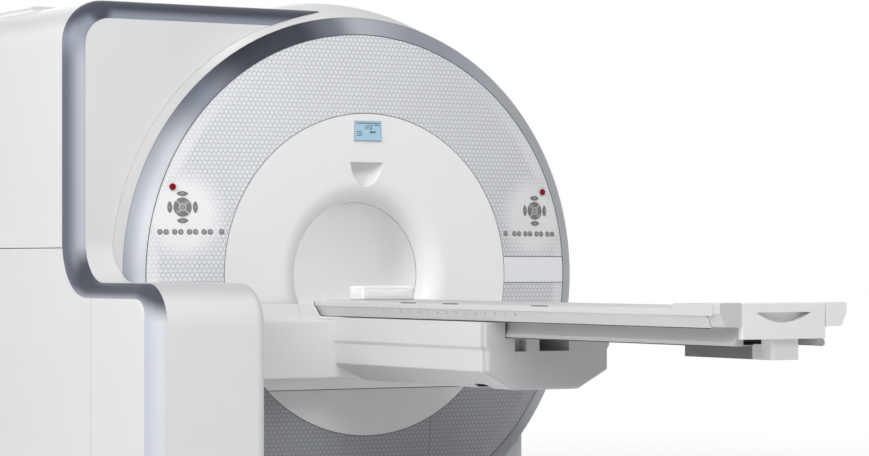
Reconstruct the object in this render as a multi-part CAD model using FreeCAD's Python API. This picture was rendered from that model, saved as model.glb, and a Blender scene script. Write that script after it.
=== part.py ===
import FreeCAD
import Part
import math
import os

Vector = FreeCAD.Vector

# MRI scanner with its patient table. All lengths are in millimetres.
# The pieces are drawn about the bore axis, with Y into the scanner, the rim of the front funnel
# at Y = 0 and the bore axis at Z = 0. At the end they are placed on the floor under the isocentre.

# Gantry
drum_clear = 13.0               # drum above the floor
gantry_length = 1990.0          # funnel rim to rear cover
bore_r = 300.0
rim_r = 664.0                   # funnel rim
lip_depth = 117.0               # where the funnel meets the bore
roll_r = 100.0                  # rounding of the funnel into the bore
panel_width = 328.0             # face panel, from the rim outwards
panel_r = rim_r + panel_width
panel_drop = 43.0               # its outer edge lies this far behind the rim
panel_split_x = 303.0           # joint in the lower half of the face panel
ring_width = 74.0               # trim ring
ring_slope = 56.0
ring_r = panel_r + ring_width
ring_drop = panel_drop + ring_slope
ring_bulge = 4.0
flare_rise = 75.0               # flared cover behind the ring
flare_length = 251.0
flare_r = ring_r + flare_rise
flare_y = ring_drop + flare_length
shoulder_rise = 11.0            # rounding of the flare into the drum
shoulder_length = 100.0
drum_r = flare_r + shoulder_rise
drum_y = flare_y + shoulder_length
axis_height = drum_r + drum_clear
cover_t = 6.0                   # wall of the outer covers
seam = 3.0                      # visible gap between covers
seam_depth = 3.0
rebate = 16.0                   # hidden flange that seats one cover behind the next
flange_t = 4.0
trim_land = 20.0                # width on which the drum cover sits on the trim ring
trim_seam = 1.5
segment_rise = 193.0            # straight seam across the lower funnel, above its rim
segment_z = segment_rise - rim_r
drum_cut = 85.0                 # the drum covers end this far above the floor

# Magnet and what it holds
vessel_clear = 152.0            # drum to vessel
vessel_r = drum_r - vessel_clear
vessel_y = 150.0                # front and rear clearance of the vessel
vessel_edge_r = 40.0
coil_clear = 45.0               # bore to gradient coil
gradient_t = 90.0
wedge_t = 15.0
gradient_bore_r = bore_r + coil_clear
gradient_r = gradient_bore_r + gradient_t
vessel_bore_r = gradient_r + wedge_t
gradient_y = 320.0
wedge_count = 8
wedge_angle = 12.0
wedge_length = 80.0
detector_count = 56
detector_length = 258.0
detector_t = 20.0
detector_slit = 2.5
detector_skin = 4.0
liner_t = 6.0
body_coil_t = 5.0
body_coil_length = 500.0
body_coil_ring = 40.0
rung_count = 16
rung_share = 0.3                # part of each pitch that is rung
liner_flange = 55.0             # how far the liner's flanges lap the gradient coil's ends
liner_flange_r = gradient_bore_r + liner_flange
liner_flange_t = 10.0
bore_rail_width = 60.0
bore_rail_inset = 8.0           # bore rails inside the table top's rail

# Base
beam_x = 330.0
beam_width = 100.0
beam_height = 75.0
beam_inset = 12.0               # ends of the beams inside the plinth
saddle_count = 4
saddle_t = 50.0
cross_beam_width = 120.0
anchor_x = 355.0
anchor_y = 700.0
anchor_r = 9.0
anchor_tab = 60.0
anchor_tab_t = 15.0
saddle_y = 360.0                # the first saddle stands inside the opening of the drum covers
skirt_x = 905.0                 # plinth between the drum and the floor
skirt_y = 200.0
skirt_rear = 40.0
skirt_t = 5.0
skirt_corner_r = 50.0
beam_y = skirt_y + beam_inset

# Left tower and pedestal
tower_reach = 116.0             # left side plane, outside the drum
tower_sink = 52.0               # tower top, below the drum's crown
tower_step = 67.0               # tower front, behind the trim ring's edge
side_x = drum_r + tower_reach
tower_front_y = ring_drop + tower_step
tower_top = drum_r - tower_sink
tower_gap = 1.5                 # covers to drum
tower_corner_r = 175.0
edge_r = 70.0                   # edge trim
top_strip = 76.0                # edge trim on the tower's front
low_strip = 59.0                # edge trim on the side, below the shelf
low_strip_r = 72.0
shelf_z = -30.0
shelf_root_r = 169.0            # shelf to tower
shelf_nose_r = 162.0            # shelf to pedestal front
pedestal_front_y = -574.0
pedestal_width = 495.0
pedestal_inner_x = side_x - pedestal_width
pedestal_corner_r = 42.0
floor_gap = 12.0
side_seam_z = 108.0
side_seam_y = -39.0
roof_rise = 16.0
roof_y = 800.0
roof_margin = 115.0

# Controls on the face panel
control_inset = 111.3           # centre key, from the outside of the face panel
control_angle = 17.92
plate_out = 122.0               # plate edges from the centre key
plate_down = 124.0
plate_up = 112.0
plate_corner_r = 20.0
plate_gap = 0.3
disc_r = 38.0
disc_slit = 2.4
centre_r = 11.0
centre_gap = 3.0
arrow_width = 50.0
arrow_height = 20.0
arrow_trim = 2.0
arrow_reach = 54.0
key_gap = 0.4
key_rise = 2.0
key_edge = 0.7
key_lip = 1.0
key_lip_t = 1.4
key_back = 6.6                  # the lips lie this deep behind the plate's face
small_key_r = 11.0
small_key_z = -99.0
small_key_pitch = 26.0
small_key_out = 38.5            # middle of the outermost pair, from the plate's edge
small_key_in = 20.0             # single key, from the plate's edge
small_key_pairs = 4
mat_depth = 10.5
mat_t = 2.0
mat_margin = 8.0
stop_x = 42.0
stop_z = 81.0
stop_r = 13.5
stop_cap_t = 5.0
stop_rise = 4.8
stop_stem_r = 7.0
stop_stem_depth = 26.0
bare_plate_low = -35.0
bare_plate_high = 75.0
control_r = panel_r - control_inset
control_x = control_r * math.cos(math.radians(control_angle))
control_z = control_r * math.sin(math.radians(control_angle))
plate_in = control_x - math.sqrt((rim_r + 2 * seam) ** 2 - (control_z - plate_down) ** 2)

# Display and laser recess in the funnel
display_inset = 71.5            # display's middle inside the funnel's rim
display_z = rim_r - display_inset
display_width = 128.0
display_height = 83.0
display_t = 22.0
laser_rise = 55.0               # scoop's tip above the bore
laser_height = 110.0
laser_low = bore_r + laser_rise
laser_top = laser_low + laser_height
laser_r = 77.0
laser_wall = 3.0
laser_window_width = 40.0
laser_window_depth = 14.0
laser_window_t = 3.0
laser_window_lap = 3.0
laser_window_place = 22.0

# Patient table: widths follow the bore, heights follow the rail that clears it
rim_clear = 35.0                # table top's edge to the bore's radius
half_width = bore_r - rim_clear
board_taper = 22.0
board_low_x = half_width - board_taper
board_rim = 50.0                # low rim beside the raised middle
board_slope = 32.0
rail_inset = 87.0
rail_x = half_width - rail_inset
rail_lip = 10.0
rail_lip_x = rail_x + rail_lip
rail_clear = 6.8                # rail above the bore's wall
rail_low_z = rail_clear - math.sqrt(bore_r ** 2 - rail_lip_x ** 2)
rail_height = 60.0
rail_lip_t = 13.0
rail_wall = 8.0
rail_head_y = -110.0
board_low_z = rail_low_z + rail_height
board_height = 59.0             # at the rims
board_edge_z = board_low_z + board_height
board_crown = 6.0               # the middle stands above the rims
board_mid_z = board_edge_z + board_crown
rim_side = 17.5                 # upright part of the rim's side
rim_bevel = 5.0
foot_rise = 22.0                # the foot end stands above the rims
foot_top_z = board_edge_z + foot_rise
head_top_y = -20.0
head_low_y = -32.0
foot_y = -2776.0
end_cover_t = 76.0
end_cover_x = rail_x - 2.5
end_cover_rise = 3.0
end_cover_height = 121.0
end_cover_top = foot_top_z + end_cover_rise
end_cover_low = end_cover_top - end_cover_height
cap_gap = 1.5
grip_width = 230.0
grip_height = 35.0
grip_drop = 29.0
grip_top = foot_top_z - grip_drop
grip_depth = 34.0
clip_y = -2512.0
clip_t = 3.5
clip_low = board_edge_z - rim_side
cap_side = 36.0                 # upright part of the corner cap's side
dock_in = -30.0
dock_out = 86.0
dock_height = 48.0
dock_low = rail_low_z - dock_height
dock_front_y = -2645.0
dock_back_y = -2257.0
dock_plate_t = 2.5
plug_left = -37.0
plug_right = 77.0
plug_front_y = -2760.0
plug_edge_r = 12.0
socket_r = 12.0                 # oval sockets in the rims
socket_length = 96.0
socket_depth = 12.0
socket_inset = 22.0
socket_places = (-734.0, -1046.0, -1661.0)
rail_foot_y = -2755.0

# Housing under the table top
run_gap = 4.0                   # clearance round everything that slides with the table top
groove_gap = 6.0
housing_reach = 14.0            # housing outside the table top's edge
housing_x = half_width + housing_reach
housing_draw = 8.0              # step inwards at the waist
housing_waist_x = housing_x - housing_draw
housing_side = 35.0             # heights below the rail
housing_waist_z = rail_low_z - housing_side
housing_step = 13.0
housing_chine = 128.0
housing_chine_z = rail_low_z - housing_chine
housing_depth = 198.0
housing_low_z = rail_low_z - housing_depth
housing_keel_x = 0.51 * housing_waist_x
housing_wall = 5.0
nose_y = -1353.0
nose_t = 30.0
nose_edge_r = 15.0
nose_side_r = 10.0
sleeve_length = 12.0
sleeve_t = 3.0
nose_seam = 2.0
nose_slot_out = 28.0            # window beside the groove, from the rail's side
nose_slot_width = 52.0
nose_slot_depth = 43.0
hatch_length = 112.0            # oval opening in the keel behind the nose
hatch_width = 66.0
hatch_y = -1137.0

# Lift
arm_front_y = -206.0
arm_back_y = -15.0
arm_height = 237.0
arm_rise = 47.0                 # arm's top above the rail's underside
arm_top = rail_low_z + arm_rise
arm_bottom = arm_top - arm_height
arm_edge_r = 12.0
step_rise = 62.0
step_top = arm_top + step_rise
step_low_y = -75.0
step_high_y = -45.0
step_lean = 15.0                # its end leans away from the table top
step_joint_x = -355.0
lift_travel = 450.0
slot_gap = 8.0
column_inset = 118.0            # column inside the tower's side
column_width = 200.0
column_left = side_x - column_inset
column_right = column_left - column_width
column_front_y = pedestal_front_y + shelf_nose_r + 2
column_back_y = -60.0
column_wall = 12.0
foot_plate_t = 20.0
foot_plate_margin = 60.0
rail_pitch = 200.0
rail_width = 30.0
rail_depth = 25.0
screw_r = 16.0
screw_gap = 0.5
carriage_t = 60.0
carriage_height = 280.0
carriage_width = 300.0
beam_clear = 6.0
beam_end = 98.0                 # beam's end inside the housing's side
bracket_t = 24.0

# Head cushion
cushion_width = 250.0
cushion_front_y = -170.0
cushion_back_y = -57.0
cushion_height = 56.0
cushion_crown = 2.5
cushion_waist = 3.0             # how far its sides are drawn in between the corners

floor_z = -axis_height
far = 4000.0
crumb = 2000.0                  # volume below which a cut-off sliver is dropped
cone_angle = math.atan2(panel_drop, panel_r - rim_r)
column_top = shelf_z - cover_t  # the pedestal's shelf rests on the column
carriage_x = -column_right + rail_depth + carriage_t
arm_left_x = -carriage_x - seam
groove_left = plug_left - run_gap
groove_right = dock_out + groove_gap


# ---------------------------------------------------------------- drawing helpers

def lift_point(plane, u, v, level=0.0):
    """Point (u, v) of a section plane: x is seen from the side, y from the front, z from above."""
    if plane == "x":
        return Vector(level, u, v)
    if plane == "y":
        return Vector(u, level, v)
    return Vector(u, v, level)


def outline(plane, corners, level=0.0):
    """Closed wire through corners (u, v) or (u, v, radius), rounded where a radius is given."""
    points = [Vector(corner[0], corner[1], 0) for corner in corners]
    bends = []
    for i, corner in enumerate(corners):
        radius = corner[2] if len(corner) > 2 else 0.0
        here = points[i]
        if radius <= 0:
            bends.append((here, None, here))
            continue
        back = (points[i - 1] - here).normalize()
        ahead = (points[(i + 1) % len(points)] - here).normalize()
        half = back.getAngle(ahead) / 2
        reach = radius / math.tan(half)
        inward = (back + ahead).normalize()
        middle = here + inward * (radius / math.sin(half) - radius)
        bends.append((here + back * reach, middle, here + ahead * reach))
    edges = []
    for i, (start, middle, end) in enumerate(bends):
        if middle is not None:
            arc = [lift_point(plane, p.x, p.y, level) for p in (start, middle, end)]
            edges.append(Part.Arc(*arc).toShape())
        following = bends[(i + 1) % len(bends)][0]
        if end.distanceToPoint(following) > 1e-6:
            line = [lift_point(plane, p.x, p.y, level) for p in (end, following)]
            edges.append(Part.LineSegment(*line).toShape())
    return Part.Wire(edges)


def prism(plane, corners, start, end):
    """Outline drawn at start and carried along the plane's axis to end."""
    face = Part.Face(outline(plane, corners, start))
    along = {"x": Vector(1, 0, 0), "y": Vector(0, 1, 0), "z": Vector(0, 0, 1)}[plane]
    return face.extrude(along * (end - start))


def block(x0, x1, y0, y1, z0, z1):
    return Part.makeBox(x1 - x0, y1 - y0, z1 - z0, Vector(x0, y0, z0))


def turned(corners, angle=360.0):
    """Solid of revolution about the bore axis from corners (radius, depth, rounding)."""
    face = Part.Face(outline("z", corners))
    return face.revolve(Vector(0, 0, 0), Vector(0, 1, 0), angle)


def tube(inner, outer, y0, y1):
    return turned([(inner, y0), (outer, y0), (outer, y1), (inner, y1)])


def cylinder_y(radius, y0, y1, x=0.0, z=0.0):
    return Part.makeCylinder(radius, y1 - y0, Vector(x, y0, z), Vector(0, 1, 0))


def spin(shape, angle):
    """Copy of a shape turned about the bore axis."""
    copy = shape.copy()
    copy.rotate(Vector(0, 0, 0), Vector(0, 1, 0), angle)
    return copy


def main_solids(shape, least=crumb):
    """The solids of a cut shape without the crumbs that a cut can leave."""
    solids = [solid for solid in shape.Solids if solid.Volume > least]
    return solids[0] if len(solids) == 1 else Part.makeCompound(solids)


def edges_in(shape, x=None, y=None, z=None, slack=0.1):
    """Edges whose box lies between the given (low, high) limits."""
    found = []
    for edge in shape.Edges:
        box = edge.BoundBox
        spans = ((x, box.XMin, box.XMax), (y, box.YMin, box.YMax), (z, box.ZMin, box.ZMax))
        if all(lim is None or (low > lim[0] - slack and high < lim[1] + slack) for lim, low, high in spans):
            found.append(edge)
    return found


# ---------------------------------------------------------------- face of the gantry

def face_drop(radius):
    """Depth of the face panel's front at a radius."""
    return (radius - rim_r) * math.tan(cone_angle)


def face_slab(r_in, r_out, front, back):
    """Part of a cone that follows the face panel, between two depths behind its front."""
    return turned([(r_in, face_drop(r_in) + front), (r_out, face_drop(r_out) + front),
                   (r_out, face_drop(r_out) + back), (r_in, face_drop(r_in) + back)])


def funnel_curve(wall):
    """Tangent point, middle and end of the funnel's rounding into the bore, at a wall's depth."""
    centre = Vector(bore_r + roll_r, lip_depth, 0)
    rim = Vector(rim_r, 0, 0)
    span = rim.distanceToPoint(centre)
    heading = math.atan2(centre.y, centre.x - rim.x) + math.asin(roll_r / span)
    tangent_angle = heading + math.pi / 2
    end_angle = math.pi
    middle_angle = (tangent_angle + end_angle) / 2
    radius = roll_r - wall
    points = [centre + Vector(math.cos(a), math.sin(a), 0) * radius
              for a in (tangent_angle, middle_angle, end_angle)]
    return points, Vector(math.sin(heading), -math.cos(heading), 0)


def funnel(back_points):
    """Funnel shell from the rim to the bore, closed at its outside through back_points."""
    (touch, middle, lip), behind = funnel_curve(0.0)
    (touch_back, middle_back, lip_back), behind = funnel_curve(cover_t)
    rim = Vector(rim_r, 0, 0)
    edges = [Part.LineSegment(lip_back, lip).toShape(),
             Part.Arc(lip, middle, touch).toShape(),
             Part.LineSegment(touch, rim).toShape()]
    root = back_points[-1][0]
    stops = [rim] + [Vector(r, y, 0) for r, y in back_points]
    stops += [Vector(root, funnel_back_y(root), 0), touch_back]
    for start, end in zip(stops, stops[1:]):
        edges.append(Part.LineSegment(start, end).toShape())
    edges.append(Part.Arc(touch_back, middle_back, lip_back).toShape())
    return Part.Face(Part.Wire(edges)).revolve(Vector(0, 0, 0), Vector(0, 1, 0), 360)


def funnel_back_y(radius):
    """Depth of the funnel's back on its straight flank."""
    (touch, middle, lip), behind = funnel_curve(cover_t)
    start = Vector(rim_r, 0, 0) + behind * cover_t
    return start.y + (touch.y - start.y) * (start.x - radius) / (start.x - touch.x)


def front_funnel_shell():
    """Front funnel with the hidden flange that the face panel is seated on."""
    outer = rim_r + rebate
    root = rim_r - rebate
    deep = face_drop(rim_r) + cover_t
    slope = face_drop(outer)
    return funnel([(rim_r, deep), (outer, deep + slope), (outer, deep + slope + flange_t),
                   (root, deep + flange_t)])


def laser_scoop(grow=0.0):
    """Scoop under the display: a vertical ogive with a flat top, cut into the funnel."""
    height = laser_top - laser_low
    lowest = Vector(0, 0, laser_low - grow)
    widest = Vector(laser_r + grow, 0, laser_top + grow)
    bulge = Vector((laser_r + grow) * 0.68, 0, laser_low - grow + height * 0.36)
    side = Part.Arc(lowest, bulge, widest).toShape()
    top = Vector(0, 0, laser_top + grow)
    wire = Part.Wire([side, Part.LineSegment(widest, top).toShape(), Part.LineSegment(top, lowest).toShape()])
    scoop = Part.Face(wire).revolve(Vector(0, 0, 0), Vector(0, 0, 1), 360)
    scoop.translate(Vector(0, face_funnel_y(laser_top), 0))
    return scoop


def face_funnel_y(radius):
    """Depth of the funnel's front on its straight flank."""
    (touch, middle, lip), behind = funnel_curve(0.0)
    return touch.y * (rim_r - radius) / (rim_r - touch.x)


def behind_funnel(wall):
    """Everything behind the funnel's front by at least a wall, its rounding into the bore included."""
    (touch, middle, lip), behind = funnel_curve(wall)
    rim = Vector(rim_r + rebate, 0, 0) + behind * wall
    deep = lip_depth + 2 * laser_r
    edges = [Part.LineSegment(rim, touch).toShape(), Part.Arc(touch, middle, lip).toShape()]
    stops = [lip, Vector(lip.x, deep, 0), Vector(rim.x, deep, 0), rim]
    for start, end in zip(stops, stops[1:]):
        edges.append(Part.LineSegment(start, end).toShape())
    return Part.Face(Part.Wire(edges)).revolve(Vector(0, 0, 0), Vector(0, 1, 0), 360)


def make_funnels():
    shell = front_funnel_shell()
    gap = seam / 2
    upper = shell.common(block(-far, far, -far, far, segment_z + gap, far))
    lower = shell.common(block(-far, far, -far, far, -far, segment_z - gap))
    half = display_width / 2 + plate_gap
    upper = upper.cut(block(-half, half, -far, far, display_z - display_height / 2 - plate_gap,
                            display_z + display_height / 2 + plate_gap))
    upper = upper.cut(laser_scoop())
    return main_solids(upper), main_solids(lower)


def make_display():
    """Closed display unit with a flange behind the funnel."""
    front = face_funnel_y(display_z + display_height / 2)
    half = display_width / 2
    low = display_z - display_height / 2
    high = display_z + display_height / 2
    body = block(-half, half, front, front + display_t, low, high)
    lip = block(-half - flange_t * 2, half + flange_t * 2, front - flange_t, front + display_t - flange_t,
                low - flange_t * 2, high + flange_t * 2)
    lip = lip.common(behind_funnel(cover_t))
    return body.fuse(lip).removeSplitter()


def make_laser_housing():
    """Cup behind the funnel that lines the scoop, with a slot for the window in its ceiling."""
    cup = laser_scoop(laser_wall).common(behind_funnel(cover_t)).cut(laser_scoop())
    return main_solids(cup.cut(window_block(0.0, laser_top - 1, laser_top + laser_wall + 1)))


def window_block(lap, low, high):
    half = laser_window_width / 2 + lap
    front = face_funnel_y(laser_top) + laser_window_place - lap
    return block(-half, half, front, front + laser_window_depth + 2 * lap, low, high)


def make_laser_window():
    """Small pane that lies on the slot in the scoop's ceiling."""
    low = laser_top + laser_wall
    return window_block(laser_window_lap, low, low + laser_window_t)


def make_face_panel():
    """Honeycomb-patterned ring with cut-outs for the control plates and the bare plate."""
    panel = face_slab(rim_r + seam, panel_r, 0, cover_t)
    for side in (-1, 1):
        panel = panel.cut(plate_prism(side, 0.0))
    gap = plate_gap * 2
    panel = panel.cut(block(0, far, -far, far, bare_plate_low - gap, bare_plate_high + gap))
    half = plate_gap * 3
    joint = block(panel_split_x - half, panel_split_x + half, -far, far, -far, 0)
    return panel.cut(joint.common(face_slab(rim_r, panel_r + seam, -seam_depth, seam_depth)))


def make_bare_plate():
    panel = face_slab(rim_r + seam, panel_r, 0, cover_t)
    return panel.common(block(0, far, -far, far, bare_plate_low, bare_plate_high))


def make_trim_ring():
    """Painted ring round the face panel, gently crowned, with a rebate behind the panel."""
    start = Vector(panel_r + 1, panel_drop, 0)
    end = Vector(ring_r, ring_drop, 0)
    chord = end - start
    outward = Vector(chord.y, -chord.x, 0).normalize()
    crown = (start + end) * 0.5 + outward * ring_bulge
    inner = panel_r - rebate
    back = [(ring_r, ring_drop + trim_land), (ring_r - flange_t, ring_drop + trim_land),
            (ring_r - flange_t, ring_drop + 2 * flange_t), (panel_r + 1, panel_drop + cover_t + flange_t),
            (inner, face_drop(inner) + cover_t + flange_t), (inner, face_drop(inner) + cover_t),
            (panel_r + 1, face_drop(panel_r + 1) + cover_t)]
    stops = [end] + [Vector(r, y, 0) for r, y in back] + [start]
    edges = [Part.Arc(start, crown, end).toShape()]
    for first, second in zip(stops, stops[1:]):
        edges.append(Part.LineSegment(first, second).toShape())
    return Part.Face(Part.Wire(edges)).revolve(Vector(0, 0, 0), Vector(0, 1, 0), 360)


# ---------------------------------------------------------------- drum and rear

def shoulder_point():
    """Middle of the rounding between flare and drum."""
    return Vector(flare_r + (drum_r - flare_r) * 0.72, (flare_y + drum_y) / 2, 0)


def above_drum_cut():
    return block(-far, far, -far, far, floor_z + drum_cut, far)


def make_drum_front():
    """Flared cover from the trim ring to the drum."""
    start = Vector(ring_r + trim_seam, ring_drop + trim_seam, 0)
    ledge = Vector(start.x, start.y + flange_t, 0)
    seat = Vector(ring_r, ledge.y, 0)
    inner_start = Vector(ring_r, ring_drop + trim_land, 0)
    knee = Vector(flare_r, flare_y, 0)
    end = Vector(drum_r, drum_y, 0)
    middle = shoulder_point()
    inward = Vector(-cover_t, 0, 0)
    edges = [Part.LineSegment(start, knee).toShape(),
             Part.Arc(knee, middle, end).toShape(),
             Part.LineSegment(end, end + inward).toShape(),
             Part.Arc(end + inward, middle + inward, knee + inward).toShape(),
             Part.LineSegment(knee + inward, inner_start).toShape(),
             Part.LineSegment(inner_start, seat).toShape(),
             Part.LineSegment(seat, ledge).toShape(),
             Part.LineSegment(ledge, start).toShape()]
    cover = Part.Face(Part.Wire(edges)).revolve(Vector(0, 0, 0), Vector(0, 1, 0), 360)
    return cover.common(above_drum_cut())


def make_drum_rear():
    cover = tube(drum_r - cover_t, drum_r, drum_y + seam, gantry_length - seam)
    return cover.common(above_drum_cut())


def make_rear_cover():
    """Flat rear ring and rear funnel in one moulding, with a rim inside the drum."""
    outer = drum_r - cover_t
    rim = 5 * cover_t
    shell = funnel([(outer - rim, 0), (outer, rim), (outer, 2 * rim), (outer - cover_t, 2 * rim),
                    (outer - cover_t, rim + cover_t), (outer - rim - cover_t, cover_t), (rim_r, cover_t)])
    shell = shell.mirror(Vector(0, 0, 0), Vector(0, 1, 0))
    shell.translate(Vector(0, gantry_length, 0))
    return shell.common(above_drum_cut())


# ---------------------------------------------------------------- magnet, coils and liner

def make_magnet_vessel():
    return turned([(vessel_bore_r, vessel_y), (vessel_r, vessel_y, vessel_edge_r),
                   (vessel_r, gantry_length - vessel_y, vessel_edge_r),
                   (vessel_bore_r, gantry_length - vessel_y)])


def make_gradient_coil():
    return tube(gradient_bore_r, gradient_r, gradient_y, gantry_length - gradient_y)


def make_gradient_wedges():
    """Wedges that centre the gradient coil in the vessel, a ring of them at each end."""
    wedges = []
    ends = (gradient_y, gantry_length - gradient_y - wedge_length)
    for y in ends:
        wedge = turned([(gradient_r, y), (vessel_bore_r, y), (vessel_bore_r, y + wedge_length),
                        (gradient_r, y + wedge_length)], wedge_angle)
        for i in range(wedge_count):
            wedges.append(spin(wedge, 360.0 * i / wedge_count))
    return Part.makeCompound(wedges)


def make_detector_ring():
    """Ring of detector cassettes: a many-sided ring, slit between the cassettes from inside."""
    middle = gantry_length / 2
    y0 = middle - detector_length / 2
    turn = 2 * math.pi / detector_count
    outer_r = gradient_bore_r
    inner_r = outer_r - detector_t / math.cos(turn / 2)
    rings = []
    for radius in (outer_r, inner_r):
        corners = [(radius * math.cos(turn * i), radius * math.sin(turn * i)) for i in range(detector_count)]
        rings.append(prism("y", corners, y0, y0 + detector_length))
    ring = rings[0].cut(rings[1])
    slits = []
    for i in range(detector_count):
        slit = block(inner_r - detector_t, outer_r - detector_skin, y0 - 1, y0 + detector_length + 1,
                     -detector_slit / 2, detector_slit / 2)
        slits.append(spin(slit, 360.0 * i / detector_count))
    return ring.cut(Part.makeCompound(slits))


def make_body_coil():
    """Birdcage transmit coil: two end rings and rungs, left over between windows."""
    y0 = (gantry_length - body_coil_length) / 2
    r_in = bore_r + liner_t
    coil = tube(r_in, r_in + body_coil_t, y0, y0 + body_coil_length)
    pitch = 360.0 / rung_count
    y1 = y0 + body_coil_ring
    y2 = y0 + body_coil_length - body_coil_ring
    window = turned([(r_in - 1, y1), (r_in + body_coil_t + 1, y1), (r_in + body_coil_t + 1, y2),
                     (r_in - 1, y2)], pitch * (1 - rung_share))
    windows = [spin(window, pitch * i) for i in range(rung_count)]
    return coil.cut(Part.makeCompound(windows))


def make_bore_liner():
    """Bore tube with support flanges and the two moulded-in rails that the table top runs over."""
    y0 = lip_depth
    y1 = gantry_length - lip_depth
    outer = bore_r + liner_t
    liner = tube(bore_r, outer, y0, y1)
    for y in (gradient_y - liner_flange_t, gantry_length - gradient_y):
        liner = liner.fuse(tube(outer, liner_flange_r, y, y + liner_flange_t))
    rail_top = rail_low_z - run_gap
    inside = cylinder_y(bore_r + liner_t / 2, y0, y1)
    for side in (-1, 1):
        outer_x = rail_x - bore_rail_inset
        low, high = sorted((side * (outer_x - bore_rail_width), side * outer_x))
        rail = block(low, high, y0, y1, -bore_r - liner_t, rail_top).common(inside)
        liner = liner.fuse(rail)
    return liner.removeSplitter()


# ---------------------------------------------------------------- base

def make_base_frame():
    """Welded base: two beams, a cross beam under the isocentre, saddles and anchor tabs."""
    middle = gantry_length / 2
    top = floor_z + beam_height
    end = gantry_length - beam_y
    frame = block(-beam_x, beam_x, middle - cross_beam_width / 2, middle + cross_beam_width / 2, floor_z, top)
    for x in (-beam_x, beam_x - beam_width):
        frame = frame.fuse(block(x, x + beam_width, beam_y, end, floor_z, top))
    pitch = (gantry_length - 2 * saddle_y - saddle_t) / (saddle_count - 1)
    for i in range(saddle_count):
        y = saddle_y + i * pitch
        frame = frame.fuse(block(-beam_x, beam_x, y, y + saddle_t, top, -vessel_bore_r))
    for x in (-anchor_x, anchor_x):
        for y in (middle - anchor_y, middle + anchor_y):
            inner = math.copysign(beam_x - 1, x)
            outer = math.copysign(anchor_x + anchor_tab / 2, x)
            low, high = sorted((inner, outer))
            tab = block(low, high, y - anchor_tab / 2, y + anchor_tab / 2, floor_z, floor_z + anchor_tab_t)
            hole = Part.makeCylinder(anchor_r, anchor_tab_t + 2, Vector(x, y, floor_z - 1))
            frame = frame.fuse(tab).cut(hole)
    return frame.cut(cylinder_y(vessel_r, -1, gantry_length + 1)).removeSplitter()


def make_skirt():
    """Plinth that stands on the floor and closes the space under the drum, beside the tower."""
    left = -pedestal_inner_x + tower_gap
    y0 = skirt_y
    y1 = gantry_length - skirt_rear
    t = skirt_t
    corner = skirt_corner_r
    outer = prism("z", [(left, y0), (skirt_x, y0, corner), (skirt_x, y1, corner), (left, y1)], floor_z, 0)
    inner = prism("z", [(left + t, y0 + t), (skirt_x - t, y0 + t, corner - t),
                        (skirt_x - t, y1 - t, corner - t), (left + t, y1 - t)], floor_z - 1, 1)
    return main_solids(outer.cut(inner).cut(drum_envelope(tower_gap)).common(below_drum_flank()))


def below_drum_flank():
    """Everything lower than the drum's widest point that the plinth may fill."""
    return block(-far, far, -far, far, -far, -bore_r)


# ---------------------------------------------------------------- left tower and pedestal

def side_profile(inset, bottom, top=None, rear=None):
    """Side view of pedestal and tower, moved inwards by inset."""
    front = pedestal_front_y + inset
    shelf = shelf_z - inset
    tower = tower_front_y + inset
    top = tower_top - inset if top is None else top
    rear = gantry_length - inset if rear is None else rear
    return [(front, bottom), (front, shelf, shelf_nose_r - inset), (tower, shelf, shelf_root_r + inset),
            (tower, top), (rear, top), (rear, bottom)]


def side_face_profile():
    """Side view of the flat side face, inside the edge trim, which is narrower below the shelf."""
    front = pedestal_front_y + low_strip
    shelf = shelf_z - low_strip
    tower = tower_front_y + edge_r
    return [(front, -far), (front, shelf, low_strip_r), (tower, shelf, shelf_root_r + low_strip),
            (tower, far), (far, far), (far, -far)]


def drum_envelope(gap):
    """The drum and its face, grown by a gap, as the space that the other covers leave free."""
    outward = Vector(ring_drop - panel_drop, panel_r - ring_r, 0).normalize()
    crown = Vector((panel_r + ring_r) / 2, (panel_drop + ring_drop) / 2, 0) + outward * (ring_bulge + gap)
    shoulder = shoulder_point()
    return turned([(0, -gap), (rim_r, -gap), (panel_r, panel_drop - gap), (crown.x, crown.y),
                   (ring_r + gap, ring_drop - gap), (flare_r + gap, flare_y - gap),
                   (shoulder.x + gap, shoulder.y - gap), (drum_r + gap, drum_y - gap),
                   (drum_r + gap, gantry_length + far), (0, gantry_length + far)])


def before_ring(grow):
    """The space in front of the trim ring, above the shelf."""
    return cylinder_y(ring_r + tower_gap + grow, -far, ring_drop).common(
        block(-far, far, -far, far, shelf_z - grow, far))


def left_body(inset, bottom):
    """Tower and pedestal as one solid with its rounded edges, moved inwards by inset."""
    left = -side_x + inset
    inner = -pedestal_inner_x - inset
    top = tower_top - inset
    front = tower_front_y + inset
    body = prism("x", side_profile(inset, bottom), left, inner)
    body = body.fuse(block(inner - 1, 0, front, gantry_length - inset, 0, top)).removeSplitter()
    body = body.makeFillet(tower_corner_r - inset, edges_in(body, x=(left, left), z=(top, top)))
    arc_low = top - tower_corner_r + inset
    chain = edges_in(body, x=(left, left), y=(-far, front))
    chain += [edge for edge in edges_in(body, y=(front, front), z=(arc_low, top))
              if edge.BoundBox.XMax > left + 1]
    body = body.makeFillet(edge_r - inset, chain)
    body = body.cut(drum_envelope(tower_gap)).cut(before_ring(inset)).removeSplitter()
    inner_edges = edges_in(body, x=(inner, inner), y=(-far, 0), z=(bottom + 1, far))
    inner_edges += [edge for edge in edges_in(body, x=(inner, inner), y=(-far, pedestal_front_y + inset + 1))
                    if edge not in inner_edges]
    return body.makeFillet(pedestal_corner_r - inset, unique_edges(inner_edges))


def unique_edges(edges):
    kept = []
    for edge in edges:
        if not any(edge.isSame(other) for other in kept):
            kept.append(edge)
    return kept


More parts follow.
